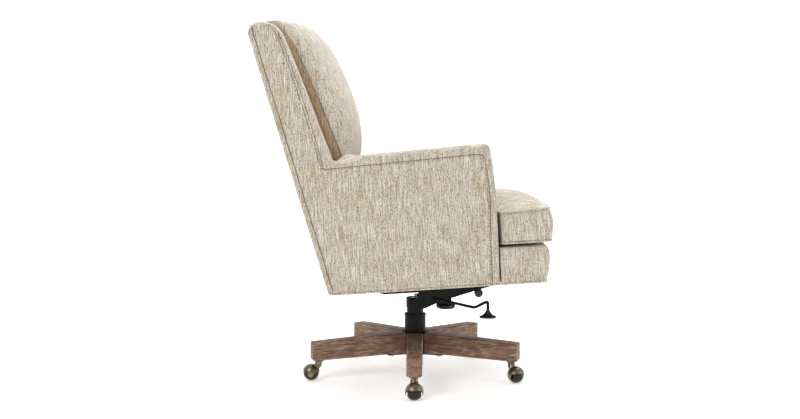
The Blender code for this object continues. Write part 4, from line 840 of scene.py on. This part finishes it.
def rolled_top(near, far):
    """The arc that rolls the top over into the rear line, from a far to a near depth inside that line:
    centre + r (cos a, sin a), where depth d is at the angle behind - arccos(1 - d / r)."""
    centre = np.array([back_line(BACK_TOP - TOP_ROLL) + TOP_ROLL / math.cos(RAKE), BACK_TOP - TOP_ROLL])
    first, last = (math.pi + RAKE - math.acos(1 - min(d / TOP_ROLL, 1)) for d in (far, near))
    a = np.linspace(first, last, 8)
    return (centre + TOP_ROLL * np.column_stack([np.cos(a), np.sin(a)])).tolist()


def side_outline():
    """The side's view: foot, arm front, arm top, wing edge and top, as corners and their radii."""
    rear = back_line(BOTTOM) + REAR_PANEL / math.cos(RAKE) + CLEAR
    corners = [(rear, BOTTOM), (ARM_FRONT - 0.004, BOTTOM), (ARM_FRONT + 0.0012, 0.5600),
               (ARM_FRONT - 0.003, 0.6300), (ARM_FRONT - 0.009, ARM_TOP_FRONT), SHOULDER]
    heights = (ARM_DIP, *np.linspace(ARM_TOP_REAR, BACK_TOP - 0.03, 12)[1:-1], BACK_TOP)
    wing = [(wing_line(z), z) for z in heights]
    over = rolled_top(REAR_PANEL + CLEAR, TOP_ROLL)
    radii = [0.014, 0.006, 0.08, 0.05, 0.019, 0.08, 0.014] + [0] * (len(wing) - 2) + [0.070]
    return corners + wing + over, radii + [0] * len(over)


def seam_line(sign):
    """The seam between border strip and outside panel runs along the arm and down its front. On the
    wing there are two lines, WING_SEAMS apart, that keep beside its edge and curl back with it."""
    z = np.linspace(1.066, 0.668, 40)
    inside = 0.0150 + 0.016 * ramp(z, 1.0, 0.68) + 0.014 * ramp(z, 1.04, 1.066) ** 2
    wings = [np.column_stack([wing_line(z) - inside + side * WING_SEAMS / 2, z]) for side in (-1, 1)]
    arm = [(-0.2253, 0.6640), (-0.1986, 0.6611), (-0.0883, 0.6652), (0.0600, 0.6704), (0.2060, 0.6752),
           (0.2240, 0.6690), (0.2300, 0.6480), (0.2352, 0.5600), (0.2310, 0.4200), (0.2285, 0.3220)]
    lines = [np.insert(smooth_path(line, 0.006), 1, sign * (HALF + 0.0002), axis=1) for line in (arm, *wings)]
    return [to_chair(arched(line)) for line in lines]


def stitches(line, offset, upright, step=0.0005):
    """A row of short thread ends beside a line: small capsules laid along it, offset to one side."""
    fine = even(line, step)
    moved = fine + offset * unit(np.cross(np.gradient(fine, axis=0), upright))
    every, run = round((STITCH + STITCH_GAP) / step), round(STITCH / step)
    return [tube(moved[s:s + run:3], THREAD, upright, sides=6) for s in range(2, len(moved) - run, every)]


def make_side(name, sign):
    """Rings round the outline from the outside face, over arm top and wing edge, to the inside face.
    With w from 0 outside to 1 inside, the wing's edge goes back by WING_SLANT w, and the arm's top
    beside the inside back goes up by ARM_RISE exp(-((x + 0.157) / 0.024)^2), eased in with w. Where
    the front border meets the arm, most of the edge's roll is taken back to close the joint."""
    corners, radii = side_outline()
    rings = rolled(sign * HALF, sign * (HALF - ARM), EDGE, SIDE_CROWN)
    shares = np.ones(len(corners))
    shares[[0, -1]] = FOOT_SHARE, REAR_SHARE
    grid = carried(corners, radii, rings, 0.02, shares)
    across = ramp(np.abs(grid[..., 1]), HALF, HALF - ARM)
    in_front = ramp(grid[..., 0], ARM_FRONT - 0.035, ARM_FRONT - 0.015) * ramp(grid[..., 2], 0.54, 0.48)
    grid[..., 0] += JOINT_SHARE * np.maximum(np.array(rings)[:, 1, None], 0) * in_front
    near_edge = ramp(wing_line(grid[..., 2]) - grid[..., 0], 0.05, 0)
    grid[..., 0] -= WING_SLANT * across * near_edge * ramp(grid[..., 2], 0.70, 0.78)
    beside = np.exp(-((grid[..., 0] + 0.157) / 0.024) ** 2) * ramp(grid[..., 2], 0.65, 0.68)
    grid[..., 2] += ARM_RISE * beside * ramp(across, 0.25, 0.70)
    side = mesh_piece(f"{name}_panel", to_chair(arched(grid)), sharp=60, capped=True)
    cloth_piece(side, TWEED, name)
    upright = (0, sign, 0)
    # Seam ridges and stitches in the darker seam tweed: painted shade along the ridges, darker thread in the
    # stitches.
    seam, *wings = seam_line(sign)
    for kind, pieces in (("seam", [tube(seam, RIDGE, upright, flat=0.7)]),
                         ("wing_seams", [tube(line, WING_RIDGE, upright, flat=0.7) for line in wings]),
                         ("stitches", stitches(seam, -STITCH_OFFSET * sign, upright))):
        cloth_piece(mesh_piece(f"{name}_{kind}", *pieces), SEAM_TWEED_THREAD_AND_SHADE)


make_side("side_right", -1)
make_side("side_left", 1)

# The outside back. One padded panel over the rear of the frame, full width, arched along its top
# and piped all round where it meets the sides. Its foam makes it crown a little to the rear.
BACK_CROWN = 0.006
BACK_EDGE = 0.004       # radius to which its side edges roll over
BACK_PIPING = 0.0024
BACK_DEPTH = REAR_PANEL / math.cos(RAKE)    # the panel's thickness, measured level
UP_RAKE = (1, 0, 0.3)   # roughly square to the raked back


def across_rings(half, radius, turns, count):
    """Rings (y, inset) from -half to half, whose ends roll over at these turns from the flat part."""
    t = np.radians(turns)
    start = list(zip(radius * (1 - np.sin(t)) - half, radius * (1 - np.cos(t))))
    middle = [(y, 0.0) for y in np.linspace(radius - half, half - radius, count)]
    return start + middle + [(-y, d) for y, d in start[::-1]]


def make_outside_back():
    """A thin raked outline carried across, its rear face pushed out by BACK_CROWN (1 - (y / half)^2)."""
    over = rolled_top(0, REAR_PANEL)
    top = over[0][1]
    corners = [(back_line(BOTTOM), BOTTOM), (back_line(BOTTOM) + BACK_DEPTH, BOTTOM)] + over
    rings = across_rings(HALF, BACK_EDGE, [72, 54, 36, 18], 60)
    grid = carried(corners, [0.0055, 0.0008] + [0] * len(over), rings, 0.02)
    behind = ramp(grid[..., 0] - back_line(grid[..., 2]), BACK_DEPTH, 0)
    grid[..., 0] -= behind * BACK_CROWN * (1 - (grid[..., 1] / HALF) ** 2)
    panel = mesh_piece("outside_back_panel", to_chair(arched(grid)), sharp=60, capped=True)
    cloth_piece(panel, TWEED, "outside_back")
    side = np.linspace(BOTTOM + 0.006, top - 0.004, 90)
    across = np.linspace(-1, 1, 81)[1:-1] * (HALF - 0.001)
    left = xyz(back_line(side) + BACK_DEPTH, -HALF - 0.0006, side)
    over = xyz(back_line(top) + BACK_DEPTH, across, top + 0.0020)
    line = to_chair(arched(even(np.vstack([left, over, (left * (1, -1, 1))[::-1]]), 0.006)))
    cloth_piece(mesh_piece("outside_back_piping", tube(line, BACK_PIPING, UP_RAKE)), TWEED)
    # A thin ridge beside each side's piping in the darker seam tweed: a line of painted shade in the groove
    # there.
    seams = [to_chair(xyz(back_line(side) + BACK_DEPTH + 0.0034, y * (HALF + 0.0004), side)) for y in (-1, 1)]
    ridges = mesh_piece("outside_back_seam_shade_line", *[tube(line, REAR_RIDGE, UP_RAKE) for line in seams])
    cloth_piece(ridges, SEAM_TWEED_THREAD_AND_SHADE)


make_outside_back()

# The inside back. A tall pad of foam and fibre, boxed at its sides, swells from a seam beside the
# wings, rolls over the top of the frame and stops behind the seat cushion.
PAD_HALF = 0.2675
SWELL_FROM = 0.660
PAD_CROWN = 0.0932
PAD_PIPING = 0.0022
SEAM_AT_TOP = 0.004     # how far the pad's crown starts forward of the wing's edge at the top
SEAM_AT_FOOT = 0.032
FRAME = 0.026
SEAT_DECK = 0.4255
STUFFING = 3.0          # pressure in both cushions' cloth simulations


def pad_seam(z):
    """How far the pad's side seam stands forward of the wing: 30 mm falling to 17 mm, less near the top."""
    return 0.030 - 0.013 * ramp(z, 0.70, 0.98) - 0.0216 * ramp(z, 0.99, 1.074) ** 2


def pad_front(y, z, top):
    """Seam line plus the crown: PAD_CROWN (1 - (1 - q)^4.3) sqrt(1 - q^20) (1 - |y / half|^3)^0.53,
    with q from 0 at the foot of the swell to 1 at the top."""
    q = ramp(z, SWELL_FROM, top)
    stand = np.clip(SEAM_AT_FOOT + (SEAM_AT_TOP - SEAM_AT_FOOT) * (z - 0.70) / 0.36, 0, SEAM_AT_FOOT)
    crown = stand + PAD_CROWN * (1 - (1 - q) ** 4.3) * np.sqrt(1 - q ** 20)
    middle = (1 - np.minimum(np.abs(y) / PAD_HALF, 1) ** 3) ** 0.53
    swollen = wing_line(np.maximum(z, SWELL_FROM)) + pad_seam(z) + (crown - pad_seam(z)) * middle
    below = wing_line(SWELL_FROM) + SEAM_AT_FOOT + (SWELL_FROM - z) * math.tan(RAKE)
    return np.where(z <= SWELL_FROM, below, swollen)


def stuffed(piece, held, reach, frames=20):
    """Cloth simulation: pressure fills the piece with no gravity. The points that held picks, by their
    places before the seat's pitch, stay, and no other ends further from its start than reach."""
    mesh, scene = piece.data, bpy.context.scene
    start = read(mesh.vertices, "co", 3)
    group = piece.vertex_groups.new(name="held")
    group.add(np.flatnonzero(held(*to_chair(start, -SEAT_PITCH).T)).tolist(), 1.0, "REPLACE")
    cloth = piece.modifiers.new("stuffing", "CLOTH")
    cloth.settings.effector_weights.gravity = 0
    for key, value in (("use_pressure", True), ("uniform_pressure_force", STUFFING),
                       ("vertex_group_mass", "held"), ("tension_stiffness", 12),
                       ("compression_stiffness", 12), ("shear_stiffness", 4), ("bending_stiffness", 0.8)):
        setattr(cloth.settings, key, value)
    cloth.collision_settings.use_collision = False
    cloth.point_cache.frame_start, cloth.point_cache.frame_end = 1, frames
    scene.frame_start, scene.frame_end = 1, frames
    for step in range(1, frames + 1):
        scene.frame_set(step)
    shown = piece.evaluated_get(bpy.context.evaluated_depsgraph_get()).to_mesh()
    move = read(shown.vertices, "co", 3) - start
    far = np.linalg.norm(move, axis=1)[:, None]
    piece.modifiers.remove(cloth)
    scene.frame_set(1)
    mesh.vertices.foreach_set("co", (start + move * reach / np.maximum(far, reach)).ravel())
    mesh.update()
    print(f"{piece.name}: moved up to {far.max() * 1000:.1f} mm, {far.mean() * 1000:.1f} mm on average")


def soften(piece):
    """One level of subdivision surface."""
    step = piece.modifiers.new("soft form", "SUBSURF")
    step.levels = 1
    step.render_levels = 1


def held_pad(x, y, z):
    """The boxed sides, the rear and all that is below the swell stay where they are."""
    crown_foot = wing_line(np.maximum(z, SWELL_FROM)) + SEAM_AT_TOP * 0.5
    return (np.abs(y) > PAD_HALF - 0.001) | (x < crown_foot) | (z < SWELL_FROM - 0.02)


def make_back_pad():
    """Grids for the front, the two boxed sides, the roll over the top, the rear and the foot."""
    foot, across, down = SEAT_DECK + 0.0015, 56, 70
    y = -0.45 * PAD_HALF * np.cos(np.pi * np.linspace(0, 1, across + 1))
    y = (y + 0.55 * np.linspace(-PAD_HALF, PAD_HALF, across + 1))[:, None]
    top = BACK_TOP + ARCH * (1 - (y / HALF) ** 2) + 0.002
    share = np.linspace(0, 1, down + 1)
    share = 0.55 * (1 - np.cos(np.pi * share)) / 2 + 0.45 * share
    z = top - (top - foot) * share
    front = xyz(pad_front(y, z, top), y, z)
    deck_top = BACK_TOP - 0.045 + (top - BACK_TOP - 0.002) * 0.5 + 0.0015
    stand = np.where(z > deck_top, 0.0010, 0.0015 + FRAME)
    z = np.minimum(z, top - 0.010)
    behind = xyz(back_line(z) + BACK_DEPTH + stand, y, z)
    w = np.linspace(0, 1, 7)[:, None, None]
    pairs = ((front[:, 0], behind[:, 0]), (front[:, -1], behind[:, -1]),
             (front[0], behind[0]), (front[-1], behind[-1]))
    top_roll, bottom, near, far = (a * (1 - w) + b * w for a, b in pairs)
    top_roll += np.sin(np.pi * w) * (0, 0, 0.0035)
    near[:, 0], far[:, 0] = top_roll[:, 0], top_roll[:, -1]
    grids = [to_chair(grid) for grid in (front, behind, top_roll, bottom, near, far)]
    pad = mesh_piece("inside_back_pad", *grids, around=False, sharp=60)
    stuffed(pad, held_pad, 0.006)
    soften(pad)
    cloth_piece(pad, TWEED, "back_cushion")
    lines = [even(line[line[:, 2] > 0.60], 0.006) for line in (to_chair(front[0]), to_chair(front[-1]))]
    cords = [tube(line, PAD_PIPING, (0, 1, 0)) for line in lines]
    cloth_piece(mesh_piece("inside_back_piping", *cords), TWEED)
    # Thin strips over the pad's boxed sides in the darkened tweed: painted shade of the recess between wing
    # and pad.
    z = np.linspace(0.62, BACK_TOP - 0.013, 60)
    ahead = wing_line(z) + pad_seam(z) - 0.001
    back = wing_line(z) - 0.030 + 0.018 * ramp(z, 1.02, 1.06)
    boxing = [to_chair(arched(np.stack([xyz(x, sign * (PAD_HALF + 0.0006), z) for x in (back, ahead)])))
              for sign in (-1, 1)]
    strips = mesh_piece("inside_back_painted_shade_strips", *boxing, around=False)
    strips.modifiers.new("cloth thickness", "SOLIDIFY").thickness = 0.0008
    cloth_piece(strips, TWEED_WITH_PAINTED_SHADE)


make_back_pad()

# The front border. A padded strip below the seat cushion, bowed forward in the middle, that returns
# round the arm fronts to the chair's full width. Piping runs along the whole bottom edge.
BORDER_FRONT = 0.393
BORDER_TOP = 0.4140
BORDER_EDGE = 0.008     # radius to which its ends roll over
BOW = 0.014


def bow(y):
    """How far the front stands forward of its ends: BOW (1 - (y / half)^2)."""
    return BOW * (1 - (y / HALF) ** 2)


def make_front_border():
    """An outline with a bulging front, carried across and pushed forward by the bow."""
    rear, half = ARM_FRONT + 0.0008, HALF - 0.0006
    corners = [(rear, BOTTOM), (BORDER_FRONT - 0.014, BOTTOM), (BORDER_FRONT, BOTTOM + 0.058),
               (BORDER_FRONT - 0.004, BORDER_TOP), (rear, BORDER_TOP)]
    rings = across_rings(half, BORDER_EDGE, [90, 75, 60, 45, 30, 15], 80)
    rings = [(-half, BORDER_EDGE + CAP)] + rings + [(half, BORDER_EDGE + CAP)]
    grid = carried(corners, [0.001, 0.010, 0.10, 0.016, 0.001], rings, 0.012, [1, 1, 1, 1, 0])
    grid[..., 0] += bow(grid[..., 1]) * ramp(grid[..., 0], rear, BORDER_FRONT)
    border = mesh_piece("front_border_pad", to_chair(grid), sharp=60, capped=True)
    cloth_piece(border, TWEED, "front_border")


def make_bottom_piping():
    """One closed loop round the underside, following the raked back, the sides and the bowed front."""
    across = np.linspace(-1, 1, 60) * (HALF - 0.010)
    side = np.linspace(BORDER_FRONT - 0.030, back_line(BOTTOM) + 0.020, 90)
    front = xyz(BORDER_FRONT - 0.0135 + bow(across), across, BOTTOM + 0.0012)
    left = xyz(side, HALF - 0.0015, BOTTOM + 0.0012)
    rear = xyz(back_line(BOTTOM) + 0.0015, across[::-1], BOTTOM + 0.0012)
    loop = np.vstack([front, left, rear, (left * (1, -1, 1))[::-1], front[:1]])
    line = to_chair(even(loop, 0.006)[:-1])
    cloth_piece(mesh_piece("bottom_piping", tube(line, PIPING, (0, 0, 1), closed=True)), TWEED)


make_front_border()
make_bottom_piping()

# The seat cushion. A loose T-shaped cushion: sprung foam in a fibre wrap, boxed all round between
# two piped edges, crowned on top, with ears that fill the room in front of the arms.
CUSHION_REAR = -0.094
CUSHION_FRONT = 0.400
CUSHION_LOW = 0.4262
CUSHION_HIGH = 0.5115
CUSHION_CROWN = 0.0445
EAR_RISE = 0.004        # how much the top's front edge stands above its rear edge
CUSHION_CELL = 0.0095   # size of the mesh's square cells
BOXING_BULGE = 0.0085
BOXING_ROWS = 8
EAR = ARM_FRONT + 0.006
BETWEEN_ARMS = HALF - ARM - 0.0015
EAR_HALF = HALF - 0.002


def cells(start, end, sides=1):
    """Places from start to end, a cell's size apart."""
    return np.linspace(start, end, sides * round((end - start) / sides / CUSHION_CELL) + 1)


def rim_of(quads):
    """The points round the quads' outer edge, in order: its edges have no twin the other way round."""
    edges = np.stack([quads, np.roll(quads, -1, axis=1)], axis=-1).reshape(-1, 2).tolist()
    both = set(map(tuple, edges))
    following = {a: b for a, b in edges if (b, a) not in both}
    ring = [next(iter(following))]
    while following[ring[-1]] != ring[0]:
        ring.append(following[ring[-1]])
    return np.array(ring)


def make_seat_cushion():
    """Top and bottom share a T-shaped plan of square cells. The top's height is the crown
    (1 - |u|^k)(1 - |v|^3.2), with k 10 ahead and 3.2 behind; boxing joins their edges."""
    xs = np.concatenate([cells(CUSHION_REAR, EAR), cells(EAR, CUSHION_FRONT)[1:]])
    ear_y = cells(BETWEEN_ARMS, EAR_HALF)[1:]
    ys = np.concatenate([-ear_y[::-1], cells(-BETWEEN_ARMS, BETWEEN_ARMS, 2), ear_y])
    x, y = np.meshgrid(xs, ys, indexing="ij")
    cell_x, cell_y = (xs[1:] + xs[:-1]) / 2, (ys[1:] + ys[:-1]) / 2
    inside = (cell_x[:, None] > EAR) | (np.abs(cell_y)[None] < BETWEEN_ARMS)
    number = np.arange(x.size).reshape(x.shape)
    quads = np.stack([number[:-1, :-1], number[1:, :-1], number[1:, 1:], number[:-1, 1:]], axis=-1)[inside]
    ring = rim_of(quads)
    plan = np.column_stack([x.ravel(), y.ravel()])
    for _ in range(5):
        loop = plan[ring]
        plan[ring] = loop * 0.5 + (np.roll(loop, 1, axis=0) + np.roll(loop, -1, axis=0)) * 0.25
    x, y = plan.T
    width = BETWEEN_ARMS + (EAR_HALF - BETWEEN_ARMS) * ramp(x, EAR, EAR + 0.05)
    u = 2 * (x - CUSHION_REAR) / (CUSHION_FRONT - CUSHION_REAR) - 1
    crown = 1 - np.minimum(np.abs(u), 1) ** np.where(u > 0, 10, 3.2)
    crown = CUSHION_CROWN * crown * (1 - ramp(np.abs(y), 0, width) ** 3.2)
    crown[ring] = 0
    ahead = ramp(x, EAR, CUSHION_FRONT)
    x = x + ahead * bow(y)
    top = xyz(x, y, CUSHION_HIGH + EAR_RISE * ahead ** 3 + crown)
    under = xyz(x, y, CUSHION_LOW)
    edge_top, edge_low = top[ring], under[ring]
    w = np.linspace(0, 1, BOXING_ROWS + 1)[1:-1, None, None]
    along = np.roll(edge_top, -1, axis=0) - np.roll(edge_top, 1, axis=0)
    outward = unit(xyz(along[:, 1], -along[:, 0], 0))
    outward *= np.sign(np.sum(outward * (edge_top - (0.1, 0, CUSHION_HIGH)), axis=1).mean())
    free = ramp(edge_top[:, :1], EAR + 0.004, EAR + 0.014)
    sides = edge_low * (1 - w) + edge_top * w + BOXING_BULGE * free * outward * np.sin(np.pi * w)
    n = len(plan)
    middle = 2 * n + np.arange((BOXING_ROWS - 1) * len(ring)).reshape(BOXING_ROWS - 1, -1)
    levels = np.vstack([ring + n, middle, ring])
    a, b = levels[:-1], levels[1:]
    walls = np.stack([a, np.roll(a, -1, axis=1), np.roll(b, -1, axis=1), b], axis=-1).reshape(-1, 4)
    points = to_chair(np.vstack([top, under, sides.reshape(-1, 3)]))
    cushion = new_piece("seat_cushion_cover", points, np.concatenate([quads, quads[:, ::-1] + n, walls]))
    edges = np.vstack([edge_top, edge_low])

    def held(x, y, z):
        """The two piped edges, the underside and what lies against the arms stay."""
        apart = np.abs(xyz(x, y, z)[:, None] - edges).max(axis=2).min(axis=1)
        return (z < CUSHION_LOW + 0.0005) | (x < EAR + 0.004) & (z < CUSHION_HIGH) | (apart < 1e-5)
    stuffed(cushion, held, 0.007)
    soften(cushion)
    cloth_piece(cushion, TWEED, "seat_cushion")
    piping = []
    for edge, lift in ((edge_top, 0.0005), (edge_low, -0.0005)):
        line = even(to_chair(np.vstack([edge, edge[:1]]) + (0, 0, lift)), 0.005)[:-1]
        piping.append(tube(line, PIPING, (0, 0, 1), closed=True))
    cloth_piece(mesh_piece("seat_cushion_piping", *piping), TWEED)


make_seat_cushion()
# The seat deck beneath the cushion gets the darkened tweed: painted shade of that recess.
paint(TWEED_WITH_PAINTED_SHADE, "seat_deck")
